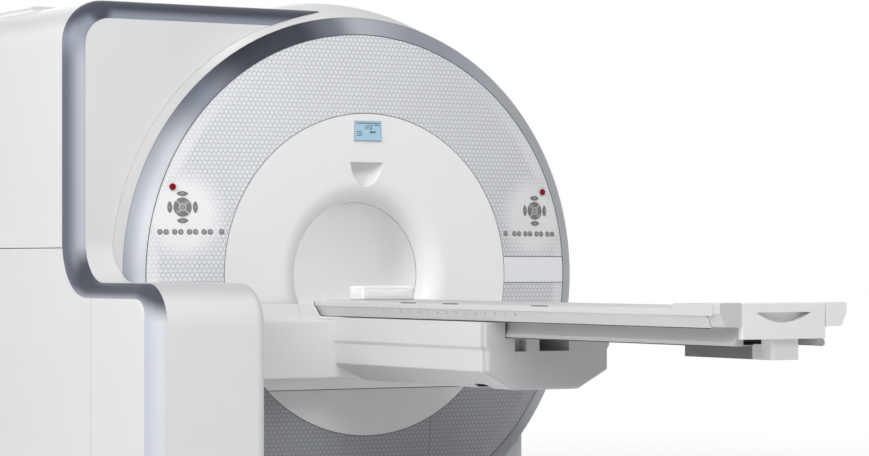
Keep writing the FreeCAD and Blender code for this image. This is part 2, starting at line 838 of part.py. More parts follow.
def make_left_covers():
    """The covers of tower and pedestal, split along their seams."""
    bottom = floor_z + floor_gap
    hollow = left_body(0.0, bottom).cut(left_body(cover_t, floor_z - floor_gap))
    behind_edge = prism("x", side_face_profile(), -far, far)
    inset_x = -side_x + edge_r
    inside_edge = prism("y", [(inset_x, -far), (inset_x, tower_top - top_strip, tower_corner_r - edge_r),
                              (far, tower_top - top_strip), (far, -far)], -far, far)
    gap = seam / 2
    root_y = tower_front_y - shelf_root_r
    in_front = block(-far, far, -far, root_y - gap, -far, far)
    behind = block(-far, far, root_y + gap, far, -far, far)
    over_seam = block(-far, far, -far, far, side_seam_z + gap, far)
    under_seam = block(-far, far, -far, far, -far, side_seam_z - gap)
    front_of_side = block(-far, far, -far, side_seam_y - gap, -far, side_seam_z - gap)
    rear_of_side = block(-far, far, side_seam_y + gap, far, -far, side_seam_z - gap)
    front_walls = hollow.common(inside_edge)
    rear_walls = hollow.common(behind_edge)
    covers = {
        "edge_trim": hollow.cut(behind_edge).cut(inside_edge),
        "tower_front_panel": front_walls.cut(behind_edge).common(behind),
        "pedestal_cover": front_walls.common(in_front).cut(arm_slot()),
        "pedestal_side_cover": rear_walls.cut(inside_edge).common(front_of_side),
        "side_cover_upper": rear_walls.common(over_seam),
        "side_cover_lower": rear_walls.common(rear_of_side).cut(inside_edge.common(in_front)),
    }
    return {name: main_solids(shape, 10 * crumb) for name, shape in covers.items()}


def arm_slot():
    """Slot in the pedestal's inner wall for the whole travel of the arm."""
    return block(-pedestal_inner_x - 2 * cover_t, -pedestal_inner_x + cover_t,
                 arm_front_y - slot_gap, far, arm_bottom - lift_travel - slot_gap, step_top + slot_gap)


def make_rear_roof():
    """Raised cover on the rear of the tower's roof."""
    left = -side_x + roof_margin
    right = -math.sqrt((drum_r + seam) ** 2 - tower_top ** 2)
    round_r = roof_rise * 0.75
    corners = [(left, tower_top), (left, tower_top + roof_rise, round_r),
               (right, tower_top + roof_rise), (right, tower_top)]
    slab = prism("y", corners, roof_y, gantry_length - cover_t)
    return main_solids(slab.cut(cylinder_y(drum_r + seam, 0, gantry_length + 1)))


# ---------------------------------------------------------------- controls

def control_placement(side):
    """Frame on the face panel at the centre key: x to the right, y up, z out of the panel."""
    radius = math.hypot(control_x, control_z)
    radial = Vector(side * control_x / radius, 0, control_z / radius)
    out = radial * math.sin(cone_angle) - Vector(0, math.cos(cone_angle), 0)
    right = (Vector(1, 0, 0) - out * out.x).normalize()
    up = out.cross(right)
    origin = Vector(side * control_x, face_drop(radius), control_z)
    matrix = FreeCAD.Matrix(right.x, up.x, out.x, origin.x, right.y, up.y, out.y, origin.y,
                            right.z, up.z, out.z, origin.z, 0, 0, 0, 1)
    return FreeCAD.Placement(matrix)


def placed(shape, side):
    copy = shape.copy()
    copy.Placement = control_placement(side).multiply(copy.Placement)
    return copy


def face_height(side, x, y):
    """Height of the face panel's front over the local tangent plane."""
    point = control_placement(side).multVec(Vector(x, y, 0))
    depth = point.y - face_drop(math.hypot(point.x, point.z))
    return depth * math.cos(cone_angle)


def plate_corners(side, grow):
    """Outline of the control plate, its far side towards the bore."""
    towards = -side * (plate_in + grow)
    away = side * (plate_out + grow)
    left, right = sorted((towards, away))
    radius = plate_corner_r + grow
    return [(left, -plate_down - grow, radius), (right, -plate_down - grow, radius),
            (right, plate_up + grow, radius), (left, plate_up + grow, radius)]


def plate_prism(side, grow):
    """Prism through the face panel along the plate's normal, kept inside the panel's rim."""
    depth = 10 * cover_t
    solid = placed(prism("z", plate_corners(side, grow), -depth, depth), side)
    return solid.common(cylinder_y(panel_r - rebate - flange_t * 2 + grow, -far / 4, far / 4))


def key_faces(side):
    """Plan shapes of each hard key's cap and of the lip behind it, by name."""
    slit_angle = math.radians(45 if side > 0 else -45)
    along = Vector(math.cos(slit_angle), math.sin(slit_angle), 0)
    across = Vector(-along.y, along.x, 0)
    disc = Part.Face(Part.Wire(Part.makeCircle(disc_r)))
    lip_disc = Part.Face(Part.Wire(Part.makeCircle(disc_r + key_lip)))
    hub = Part.Face(Part.Wire(Part.makeCircle(centre_r + centre_gap)))
    centre = Part.Face(Part.Wire(Part.makeCircle(centre_r)))
    faces = {"centre_key": (centre, centre.makeOffset2D(key_lip))}
    for name, sign in (("upper_half_key", 1), ("lower_half_key", -1)):
        near = across * (sign * disc_slit / 2)
        away = across * (sign * disc_r * 2)
        reach = along * (disc_r * 2)
        corners = [near - reach, near + reach, away + reach, away - reach, near - reach]
        half_plane = Part.Face(Part.makePolygon(corners))
        faces[name] = tuple(whole.common(half_plane).cut(hub).Faces[0] for whole in (disc, lip_disc))
    places = {"up_key": (0, 1, 0), "down_key": (0, -1, 0), "left_key": (-1, 0, 90), "right_key": (1, 0, 90)}
    for name, (x, y, turn) in places.items():
        face = arrow_face()
        face.rotate(Vector(0, 0, 0), Vector(0, 0, 1), turn)
        face.translate(Vector(x * arrow_reach, y * arrow_reach, 0))
        faces[name] = (face, face.makeOffset2D(key_lip))
    return faces


def arrow_face():
    """Lens-shaped key with its two tips trimmed off."""
    half = arrow_width / 2
    rise = arrow_height / 2
    radius = (half * half + rise * rise) / (2 * rise)
    trim = half - arrow_trim
    edge = math.sqrt(radius * radius - trim * trim) - (radius - rise)
    corners = [Vector(-trim, edge, 0), Vector(0, rise, 0), Vector(trim, edge, 0), Vector(trim, -edge, 0),
               Vector(0, -rise, 0), Vector(-trim, -edge, 0)]
    edges = [Part.Arc(*corners[:3]).toShape(), Part.LineSegment(corners[2], corners[3]).toShape(),
             Part.Arc(*corners[3:]).toShape(), Part.LineSegment(corners[5], corners[0]).toShape()]
    return Part.Face(Part.Wire(edges))


def column_of(face, low, high):
    copy = face.copy()
    copy.translate(Vector(0, 0, low))
    return copy.extrude(Vector(0, 0, high - low))


def make_key(face, lip_face):
    """Key cap with a softened top edge and a lip that stays behind the plate."""
    cap = column_of(face, -key_back - key_lip_t, key_rise)
    top = [edge for edge in cap.Edges if edge.BoundBox.ZMin > key_rise - 0.01]
    cap = cap.makeChamfer(key_edge, top)
    lip = column_of(lip_face, -key_back - key_lip_t, -key_back)
    return cap.fuse(lip).removeSplitter()


def small_key_centres(side):
    """Row of small keys: evenly spaced pairs and a single one next to the bore."""
    first = small_key_out - plate_out
    last = plate_in - small_key_in
    centres = []
    for i in range(small_key_pairs):
        middle = first + (last - first) * i / small_key_pairs
        centres += [middle - small_key_pitch / 2, middle + small_key_pitch / 2]
    centres.append(last)
    return [(-side * x, small_key_z) for x in centres]


def stop_place(side):
    return side * stop_x, stop_z


def make_stop_button(side):
    """Red push button: cap, stem and retaining collar."""
    x, y = stop_place(side)
    stem = Part.makeCylinder(stop_stem_r, stop_stem_depth + stop_rise + 1, Vector(x, y, -stop_stem_depth))
    cap = Part.makeCylinder(stop_r, stop_cap_t, Vector(x, y, stop_rise))
    top = [edge for edge in cap.Edges if edge.BoundBox.ZMin > stop_rise + stop_cap_t - 0.01]
    cap = cap.makeFillet(stop_cap_t * 0.5, top)
    collar = Part.makeCylinder(stop_stem_r + 3 * key_lip, key_lip_t * 1.5, Vector(x, y, -key_back - key_lip_t * 1.5))
    return stem.fuse(cap).fuse(collar).removeSplitter()


def make_control_plate(side):
    """Plate that carries the keys, flush with the face panel, with a flange behind it."""
    plate = face_slab(rim_r + seam, panel_r, 0, cover_t).common(plate_prism(side, -plate_gap))
    inner = rim_r + rebate + key_gap
    flange = face_slab(inner, panel_r, cover_t, cover_t + flange_t / 2)
    flange = flange.common(plate_prism(side, mat_margin)).cut(plate_prism(side, -mat_margin))
    plate = plate.fuse(flange)
    holes = [column_of(face.makeOffset2D(key_gap), -far / 20, far / 20) for face, lip in key_faces(side).values()]
    for x, y in small_key_centres(side):
        holes.append(Part.makeCylinder(small_key_r + key_gap, far / 10, Vector(x, y, -far / 20)))
    x, y = stop_place(side)
    holes.append(Part.makeCylinder(stop_stem_r + key_gap, far / 10, Vector(x, y, -far / 20)))
    return main_solids(plate.cut(placed(Part.makeCompound(holes), side)))


def make_key_mat(side):
    """Silicone mat behind the plate, moulded in one with its nine small keys."""
    sheet = prism("z", plate_corners(side, -mat_margin * 1.5), -mat_depth - mat_t, 0)
    hollow = prism("z", plate_corners(side, -mat_margin * 2.5), -mat_depth, 1)
    mat = placed(sheet.cut(hollow), side)
    mat = mat.common(face_slab(rim_r + rebate + key_gap, panel_r, cover_t, cover_t * 4))
    mat = mat.common(cylinder_y(panel_r - rebate - flange_t * 2 - mat_margin * 1.5, -far / 4, far / 4))
    mat = main_solids(mat, crumb / 4)
    for x, y in small_key_centres(side):
        top = face_height(side, x, y) + key_rise
        key = Part.makeCylinder(small_key_r, top + mat_depth + mat_t / 2, Vector(x, y, -mat_depth - mat_t / 2))
        rim = [edge for edge in key.Edges if edge.BoundBox.ZMin > top - 0.01]
        mat = mat.fuse(placed(key.makeChamfer(key_edge, rim), side))
    x, y = stop_place(side)
    hole = Part.makeCylinder(stop_r + key_lip, far / 20, Vector(x, y, -far / 40))
    return main_solids(mat.cut(placed(hole, side)).removeSplitter())


# ---------------------------------------------------------------- lift

def make_lift_column():
    """Welded column on a foot plate, with two guide rails and the screw's bearing brackets."""
    z0 = floor_z + foot_plate_t
    left = -column_left
    right = -column_right
    front = column_front_y
    back = column_back_y
    foot = block(left - foot_plate_margin, right + 2 * foot_plate_margin, front - foot_plate_margin,
                 back + foot_plate_margin / 2, floor_z, z0)
    post = block(left, right, front, back, z0, column_top)
    core = block(left + column_wall, right - column_wall, front + column_wall, back - column_wall,
                 z0 - 1, column_top - column_wall)
    column = foot.fuse(post.cut(core))
    middle = (front + back) / 2
    for y in (middle - rail_pitch / 2, middle + rail_pitch / 2):
        column = column.fuse(block(right, right + rail_depth, y - rail_width / 2, y + rail_width / 2,
                                   z0, column_top))
    bracket = block(right, screw_place().x + 2 * screw_r, middle - 2 * screw_r, middle + 2 * screw_r,
                    column_top - bracket_t, column_top)
    seat = Part.makeCylinder(screw_r, bracket_t + 2, Vector(screw_place().x, middle, column_top - bracket_t - 1))
    return column.fuse(bracket).cut(seat).removeSplitter()


def screw_place():
    middle = (column_front_y + column_back_y) / 2
    return Vector(-column_right + rail_depth + 2 * screw_r, middle, 0)


def make_lift_screw():
    """Stationary lift screw; its nut turns inside the carriage."""
    z0 = floor_z + foot_plate_t
    place = screw_place()
    return Part.makeCylinder(screw_r, column_top - z0, Vector(place.x, place.y, z0))


def make_lift_carriage():
    """Carriage that embraces the guide rails, with the driven nut's closed gearbox below."""
    right = -column_right
    middle = (column_front_y + column_back_y) / 2
    z1 = arm_top - beam_clear
    z0 = z1 - carriage_height
    clear = screw_gap
    body = block(right + clear, carriage_x, middle - carriage_width / 2,
                 middle + carriage_width / 2, z0, z1)
    for y in (middle - rail_pitch / 2, middle + rail_pitch / 2):
        slot = block(right - 1, right + rail_depth + clear, y - rail_width / 2 - clear,
                     y + rail_width / 2 + clear, z0 - 1, z1 + 1)
        body = body.cut(slot)
    place = screw_place()
    gearbox = Part.makeCylinder(3 * screw_r, carriage_t, Vector(place.x, place.y, z0 - carriage_t))
    gearbox = gearbox.cut(block(-far, right + rail_depth + clear, -far, far, -far, far))
    bore = Part.makeCylinder(screw_r + clear, far, Vector(place.x, place.y, -far / 2))
    return body.fuse(gearbox).cut(bore).removeSplitter()


def make_arm_beam():
    """Steel beam from the carriage to the middle of the table, under the table top's channel."""
    wall = cover_t
    x0 = carriage_x
    top = dock_low - groove_gap - housing_wall
    corners = [(arm_front_y + 7 * beam_clear, arm_bottom + 3 * beam_clear),
               (arm_back_y - 5 * beam_clear, arm_bottom + 3 * beam_clear),
               (arm_back_y - 5 * beam_clear, top), (arm_front_y + 7 * beam_clear, top)]
    x1 = housing_x - beam_end
    outer = prism("x", corners, x0, x1)
    (y0, z0), (y1, z1) = corners[0], corners[2]
    return outer.cut(block(x0 - 1, x1 + 1, y0 + wall, y1 - wall, z0 + wall, z1 - wall))


def channel_corners(grow):
    """Section of the channel for the rail and, below it, the groove for the docking frame."""
    side = rail_lip_x + run_gap + grow
    floor = rail_low_z - run_gap - grow
    groove = dock_low - groove_gap - grow
    return [(-side, far / 10), (-side, floor), (groove_left - grow, floor), (groove_left - grow, groove),
            (groove_right + grow, groove), (groove_right + grow, floor), (side, floor), (side, far / 10)]


def arm_section(inset):
    """Side view of the arm with its raised step at the back."""
    top = arm_top - inset
    return [(arm_front_y + inset, arm_bottom + inset, arm_edge_r - inset),
            (arm_back_y - inset, arm_bottom + inset, arm_edge_r - inset),
            (arm_back_y - inset, top), (arm_front_y + inset, top, arm_edge_r - inset)]


def make_arm_cover():
    """Moulded cover of the arm, from inside the pedestal to the far side of the table."""
    wall = housing_wall
    outer = prism("x", arm_section(0.0), -arm_left_x, housing_waist_x)
    inner = prism("x", arm_section(wall), -arm_left_x - 1, housing_waist_x - wall)
    step = prism("x", [(step_low_y, arm_top), (step_high_y, step_top), (arm_back_y, step_top),
                       (arm_back_y, arm_top)], -arm_left_x, -half_width - run_gap)
    end = -half_width - run_gap
    step = step.common(prism("y", [(-arm_left_x, arm_top), (end, arm_top), (end - step_lean, step_top),
                                   (-arm_left_x, step_top)], step_low_y - 1, arm_back_y + 1))
    below = step.copy()
    below.translate(Vector(0, seam, -seam))
    joint = block(step_joint_x - cap_gap / 2, step_joint_x + cap_gap / 2, step_low_y - 1, arm_back_y + 1,
                  arm_top + seam, step_top + 1)
    step = step.cut(step.cut(below).common(joint))
    channel = prism("y", channel_corners(0.0), -far, far)
    liner = prism("y", channel_corners(wall), -far, far)
    cover = outer.cut(inner.cut(liner)).fuse(step)
    return main_solids(cover.cut(channel).removeSplitter())


# ---------------------------------------------------------------- housing under the table top

def housing_section(inset=0.0):
    """Front view of the housing: sides with a small step, chines, keel, and the channel on top."""
    top = board_low_z - run_gap - inset
    side = housing_x - inset
    waist = housing_waist_x - inset
    slope = inset * 0.6
    lower = [(side, top), (side, housing_waist_z), (waist, housing_waist_z - housing_step),
             (waist, housing_chine_z + slope, 8.0), (housing_keel_x - slope, housing_low_z + inset, 20.0)]
    right = [(x, *rest) for x, *rest in lower]
    left = [(-x, *rest) for x, *rest in reversed(lower)]
    return right + left


def housing_solid(y0, y1, wall):
    """Length of the housing as a hollow section with its own channel walls."""
    outer = prism("y", housing_section(), y0, y1)
    inner = prism("y", housing_section(wall), y0, y1)
    inner = inner.cut(prism("y", channel_corners(wall), y0 - 1, y1 + 1))
    return outer, inner, prism("y", channel_corners(0.0), y0 - 1, y1 + 1)


def make_table_housing():
    outer, inner, channel = housing_solid(nose_y + nose_t + nose_seam, arm_front_y, housing_wall)
    half = hatch_length / 2
    hatch = stadium(-housing_keel_x, hatch_y, hatch_width / 2, hatch_length, housing_low_z - 1,
                    housing_low_z + half)
    return main_solids(outer.cut(inner).cut(channel).cut(hatch))


def make_housing_nose():
    """Nose cap with rounded front edges and a small pocket beside the docking groove."""
    back = nose_y + nose_t
    outer, inner, channel = housing_solid(nose_y, back, housing_wall)
    low_edges = edges_in(outer, x=(-housing_waist_x + 1, housing_waist_x - 1), y=(nose_y, nose_y),
                         z=(-far, board_low_z - run_gap - 1))
    outer = outer.makeFillet(nose_edge_r, low_edges)
    side_edges = edges_in(outer, x=(housing_waist_x, housing_x), y=(nose_y, nose_y))
    side_edges += edges_in(outer, x=(-housing_x, -housing_waist_x), y=(nose_y, nose_y))
    outer = outer.makeFillet(nose_side_r, side_edges)
    inner = inner.cut(block(-far, far, -far, nose_y + housing_wall, -far, far))
    slot_x = nose_slot_out - rail_x
    slot_top = rail_low_z - run_gap - housing_wall
    pocket = block(slot_x, slot_x + nose_slot_width, nose_y - 1, nose_y + nose_slot_depth,
                   dock_low - groove_gap, slot_top)
    wall = sleeve_t
    lining = block(slot_x - wall, slot_x + nose_slot_width + wall, nose_y + wall, nose_y + nose_slot_depth + wall,
                   dock_low - groove_gap - wall, slot_top + housing_wall)
    lining = lining.cut(block(-far, far, back, far, slot_top - nose_seam, far))
    sleeve = housing_solid(back - housing_wall, back + sleeve_length, housing_wall)[1]
    hollow = housing_solid(back - housing_wall - 1, back + sleeve_length + 1, housing_wall + sleeve_t)[1]
    shell = outer.cut(inner).fuse(sleeve.cut(hollow)).fuse(lining).removeSplitter()
    return main_solids(shell.cut(channel).cut(pocket))


# ---------------------------------------------------------------- table top

def board_side():
    """Outer side of the table top: upright at the rim, then a bevel, then drawn in towards the rail."""
    upright = board_edge_z - rim_side
    return [(half_width, upright, 2), (half_width - rim_bevel, upright - rim_bevel), (board_low_x, board_low_z, 4)]


def board_section():
    """Front view of the table top: low rims beside a slightly raised middle."""
    rim = half_width - board_rim
    half = [(0, board_mid_z), (rim - board_slope, board_mid_z, 40), (rim, board_edge_z, 40),
            (half_width, board_edge_z, 3)] + board_side()
    left = [(-x, *rest) for x, *rest in reversed(half[1:])]
    return half + left


def stadium(x, y, radius, length, z0, z1):
    """Upright prism with half-round ends, its length along Y."""
    reach = length / 2
    corners = [(x - radius, y - reach, radius), (x + radius, y - reach, radius),
               (x + radius, y + reach, radius), (x - radius, y + reach, radius)]
    return prism("z", corners, z0, z1)


def make_table_board():
    """One-piece composite top with a raised foot end, a slanted head end and oval sockets in its rims."""
    board = prism("y", board_section(), foot_y + end_cover_t, head_top_y)
    half = [(half_width, foot_top_z, 6)] + board_side()
    left = [(-x, *rest) for x, *rest in reversed(half)]
    foot = prism("y", half + left, foot_y + end_cover_t, clip_y)
    slope = prism("x", [(head_top_y + 1, board_mid_z + 1), (head_top_y + 1, board_low_z - 1),
                        (head_low_y, board_low_z - 1), (head_low_y, board_low_z), (head_top_y, board_mid_z + 1)],
                  -half_width - 1, half_width + 1)
    board = board.fuse(foot).removeSplitter().cut(slope)
    for y in socket_places:
        for side in (-1, 1):
            board = board.cut(stadium(side * (half_width - socket_inset), y, socket_r, socket_length,
                                      board_edge_z - socket_depth, foot_top_z))
    return main_solids(board)


def make_table_rail():
    """Extruded rail under the table top, open below, with coved sides and a lip."""
    top = board_low_z
    lip = rail_low_z + rail_lip_t
    half = [(rail_x, top), (rail_x + 2, lip + 12, 8), (rail_lip_x, lip), (rail_lip_x, rail_low_z, 2),
            (rail_x - 3 * rail_wall, rail_low_z), (rail_x - 3 * rail_wall, top - rail_wall)]
    left = [(-x, *rest) for x, *rest in reversed(half)]
    rail = prism("y", half + left, rail_foot_y, rail_head_y)
    inner = end_cover_x + cap_gap
    return main_solids(rail.cut(block(-inner, inner, -far, foot_y + end_cover_t + cap_gap,
                                      end_cover_low - cap_gap, far)))


def make_end_cover():
    """Foot end cover with the half-moon grip recess."""
    body = prism("z", [(-end_cover_x, foot_y, 6), (end_cover_x, foot_y, 6),
                       (end_cover_x, foot_y + end_cover_t), (-end_cover_x, foot_y + end_cover_t)],
                 end_cover_low, end_cover_top)
    body = body.makeFillet(4.0, edges_in(body, y=(foot_y, foot_y + 6), z=(end_cover_top, end_cover_top)))
    half = grip_width / 2
    radius = (half * half + grip_height * grip_height) / (2 * grip_height)
    scoop = cylinder_y(radius, foot_y - 1, foot_y + grip_depth, 0, grip_top - grip_height + radius)
    scoop = scoop.common(block(-half, half, -far, far, -far, grip_top))
    return body.cut(scoop)


def make_corner_cap(side):
    """Corner cap beside the end cover, with the clip strip that runs along the table top's side."""
    inner = end_cover_x + cap_gap
    low = end_cover_top - cap_side
    profile = [(inner, end_cover_top), (half_width, end_cover_top, 8), (half_width, low, 3),
               (half_width - 4, low - 4), (board_low_x, board_low_z + 4, 8), (inner, board_low_z + 4)]
    cap = prism("y", [(side * x, *rest) for x, *rest in profile], foot_y, foot_y + end_cover_t - cap_gap)
    low, high = sorted((side * half_width, side * (half_width + clip_t)))
    strip = block(low, high, foot_y + end_cover_t / 2, clip_y, clip_low, foot_top_z - 2)
    return cap.fuse(strip).removeSplitter()


def make_dock_frame():
    """Docking frame under the foot end: plate on the rail, box and the fluted plug."""
    plate_x = rail_x - 2 * rail_wall
    plate = block(-plate_x, plate_x, dock_front_y, dock_back_y, rail_low_z - dock_plate_t, rail_low_z)
    box = block(dock_in, dock_out, dock_front_y, dock_back_y, dock_low, rail_low_z)
    neck = block(dock_in, dock_out - 2 * plug_edge_r, plug_front_y + plug_edge_r, dock_front_y + 1,
                 dock_low, end_cover_low - 1 - 4 * cap_gap - plug_edge_r)
    plug = prism("z", [(plug_left, plug_front_y, plug_edge_r), (plug_right, plug_front_y, plug_edge_r),
                       (plug_right, plug_front_y + 5 * plug_edge_r), (plug_left, plug_front_y + 5 * plug_edge_r)],
                 dock_low, end_cover_low)
    return plate.fuse(box).fuse(neck).fuse(plug).removeSplitter()


def bowed(plane, corners, bows, start, end):
    """Prism whose sides bow outwards by bows, or are drawn in where a bow is negative."""
    edges = []
    for i, (u, v) in enumerate(corners):
        nu, nv = corners[(i + 1) % len(corners)]
        length = math.hypot(nu - u, nv - v)
        middle = ((u + nu) / 2 + (nv - v) / length * bows[i], (v + nv) / 2 - (nu - u) / length * bows[i])
        points = [lift_point(plane, *point, start) for point in ((u, v), middle, (nu, nv))]
        edges.append((Part.Arc(*points) if bows[i] else Part.LineSegment(points[0], points[2])).toShape())
    along = {"x": Vector(1, 0, 0), "y": Vector(0, 1, 0), "z": Vector(0, 0, 1)}[plane]
    return Part.Face(Part.Wire(edges)).extrude(along * (end - start))


def make_cushion():
    """Foam head cushion with a crowned top and drawn-in sides, its underside fitted to the table top."""
    half = cushion_width / 2
    front = cushion_front_y
    back = cushion_back_y
    low = board_mid_z - 5
    top = board_mid_z + cushion_height
    edge = top - cushion_crown
    waist = -cushion_waist
    plan = bowed("z", [(-half, front), (half, front), (half, back), (-half, back)],
                 (waist / 3, waist, waist, waist), low, top + 1)
    across = bowed("y", [(-half, low), (half, low), (half, edge), (-half, edge)],
                   (0, 0, cushion_crown, 0), front - 1, back + 1)
    along = bowed("x", [(front, low), (back, low), (back, edge), (front, edge)],
                  (0, 0, cushion_crown, 0), -half - 1, half + 1)
    board = prism("y", board_section(), front - 1, back + 1)
    return main_solids(plan.common(across).common(along).cut(board))


# ---------------------------------------------------------------- everything

def all_pieces():
    funnel_upper, funnel_lower = make_funnels()
    pieces = {
        "base_frame": make_base_frame(),
        "magnet_vessel": make_magnet_vessel(),
        "gradient_coil": make_gradient_coil(),
        "gradient_wedges": make_gradient_wedges(),
        "detector_ring": make_detector_ring(),
        "body_coil": make_body_coil(),
        "bore_liner": make_bore_liner(),
        "front_funnel": funnel_upper,
        "funnel_lower_panel": funnel_lower,
        "face_panel": make_face_panel(),
        "bare_plate": make_bare_plate(),
        "trim_ring": make_trim_ring(),
        "drum_cover_front": make_drum_front(),
        "drum_cover_rear": make_drum_rear(),
        "rear_cover": make_rear_cover(),
        "plinth_skirt": make_skirt(),
        "rear_roof_cover": make_rear_roof(),
        "display_module": make_display(),
        "laser_housing": make_laser_housing(),
        "laser_window": make_laser_window(),
        "lift_column": make_lift_column(),
        "lift_screw": make_lift_screw(),
        "lift_carriage": make_lift_carriage(),
        "arm_beam": make_arm_beam(),
        "arm_cover": make_arm_cover(),
        "table_housing": make_table_housing(),
        "housing_nose": make_housing_nose(),
        "table_board": make_table_board(),
        "table_rail": make_table_rail(),
        "end_cover": make_end_cover(),
        "corner_cap_left": make_corner_cap(-1),
        "corner_cap_right": make_corner_cap(1),
        "dock_frame": make_dock_frame(),
        "head_cushion": make_cushion(),
    }
    pieces.update(make_left_covers())
    for word, side in (("left", -1), ("right", 1)):
        pieces["control_plate_" + word] = make_control_plate(side)
        pieces["key_mat_" + word] = make_key_mat(side)
        pieces["stop_button_" + word] = placed(make_stop_button(side), side)
        for name, faces in key_faces(side).items():
            pieces[word + "_" + name] = placed(make_key(*faces), side)
    return pieces


os.makedirs("parts", exist_ok=True)
isocentre = Vector(0, -gantry_length / 2, axis_height)
for node, shape in sorted(all_pieces().items()):
    shape = shape.copy()
    shape.translate(isocentre)
    print(node, len(shape.Solids), round(shape.Volume / 1e6, 3), shape.isValid())
    shape.exportStep("parts/" + node + ".step")
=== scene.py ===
import bpy
import bmesh
from functools import partial
from math import atan2, cos, hypot, pi, radians, sin, sqrt, tan
from mathutils import Matrix, Vector
from mathutils.bvhtree import BVHTree


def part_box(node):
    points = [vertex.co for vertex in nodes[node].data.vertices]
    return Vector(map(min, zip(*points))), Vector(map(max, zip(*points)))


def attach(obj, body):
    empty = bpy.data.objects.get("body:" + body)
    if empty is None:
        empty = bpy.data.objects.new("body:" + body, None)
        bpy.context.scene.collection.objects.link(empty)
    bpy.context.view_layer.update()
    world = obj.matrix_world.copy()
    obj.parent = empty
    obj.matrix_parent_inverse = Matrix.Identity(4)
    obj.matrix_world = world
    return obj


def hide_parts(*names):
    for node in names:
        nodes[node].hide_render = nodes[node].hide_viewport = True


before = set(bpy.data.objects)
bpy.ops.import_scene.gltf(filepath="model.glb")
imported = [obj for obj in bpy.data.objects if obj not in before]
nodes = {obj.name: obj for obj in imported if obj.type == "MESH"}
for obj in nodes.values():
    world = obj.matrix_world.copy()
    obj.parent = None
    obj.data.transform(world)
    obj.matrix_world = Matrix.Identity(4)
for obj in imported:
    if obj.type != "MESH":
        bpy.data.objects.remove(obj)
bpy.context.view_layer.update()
scene = bpy.context.scene
print("frame loaded:", len(nodes), "nodes")

# the bore's axis runs along Y at axisZ, and the funnel's rim is at rimY (metres)
place = {"axisZ": 1.165, "rimY": -0.995}
# the face is a cone that falls back by drop between two radii (millimetres)
cone = {"rimR": 664.0, "panelR": 992.0, "drop": 43.0}
mm = 0.001


def fromBore(x, y, z):
    # millimetres from the centre of the funnel's rim to metres in the row frame
    return Vector((x * mm, place["rimY"] + y * mm, place["axisZ"] + z * mm))


ease = {"interpolation_type": "SMOOTHSTEP"}


def srgb(hexText):
    parts = [int(hexText[i:i + 2], 16) / 255 for i in (1, 3, 5)]
    return tuple(p / 12.92 if p <= 0.04045 else ((p + 0.055) / 1.055) ** 2.4 for p in parts) + (1.0,)


def feed(node, links):
    # links: sockets by name or number, or a list from the first socket on. Each gets a value, a colour as
    # "#rrggbb", a node (its first output) or (node, output)
    for socket, value in links.items() if isinstance(links, dict) else enumerate(links):
        source, output = value, 0
        if isinstance(value, tuple) and isinstance(value[0], bpy.types.Node):
            source, output = value
        if isinstance(source, bpy.types.Node):
            node.id_data.links.new(source.outputs[output], node.inputs[socket])
        else:
            node.inputs[socket].default_value = srgb(source) if isinstance(source, str) else source


def addNode(tree, kind, links=(), **settings):
    # kind may leave out the tree's own prefix. Each tree has its own add, made from this
    node = tree.nodes.new(kind if "Node" in kind else tree.bl_idname.replace("Tree", kind))
    for name, value in settings.items():
        setattr(node, name, value)
    feed(node, links)
    return node


def newMaterial(name, color, roughness, **shader):
    material = bpy.data.materials.new(name)
    material.use_nodes = True
    material.node_tree.nodes.clear()
    add = partial(addNode, material.node_tree)
    sockets = {key.replace("_", " "): value for key, value in shader.items()}
    surface = add("BsdfPrincipled", {"Base Color": color, "Roughness": roughness, **sockets})
    add("OutputMaterial", [surface])
    return add, surface, (add("TexCoord"), "Object")


def roughen(add, surface, coords, size, bump, low, high, height=None, color=None):
    # fine grain: a noise of this size in metres moves the roughness and the bump. color: the base colour's
    # mix
    noise = add("TexNoise", {"Vector": coords, "Scale": 1 / size, "Detail": 3.0})
    spread = add("MapRange", [noise, 0.35, 0.65, low, high])
    relief = add("Bump", {"Height": height or noise, "Strength": bump, "Distance": size * 0.2})
    feed(surface, {"Roughness": spread, "Normal": relief})
    if color:
        feed(surface, {"Base Color": (color, 2)})


def tint(add, surface, coords, size, light, dark):
    # slow drift between two close shades, as paint and mouldings have
    noise = add("TexNoise", {"Vector": coords, "Scale": 1 / size, "Detail": 2.0})
    mix = add("Mix", {0: noise, 6: light, 7: dark}, data_type="RGBA")
    feed(surface, {"Base Color": (mix, 2)})


def aroundBore(add, coords):
    # places measured square from the bore's axis, as one vector and as its X and Z
    shift = (0.0, 0.0, -place["axisZ"])
    centred = add("Mapping", {"Vector": coords, "Scale": (1.0, 0.0, 1.0), "Location": shift})
    return centred, add("SeparateXYZ", [centred])


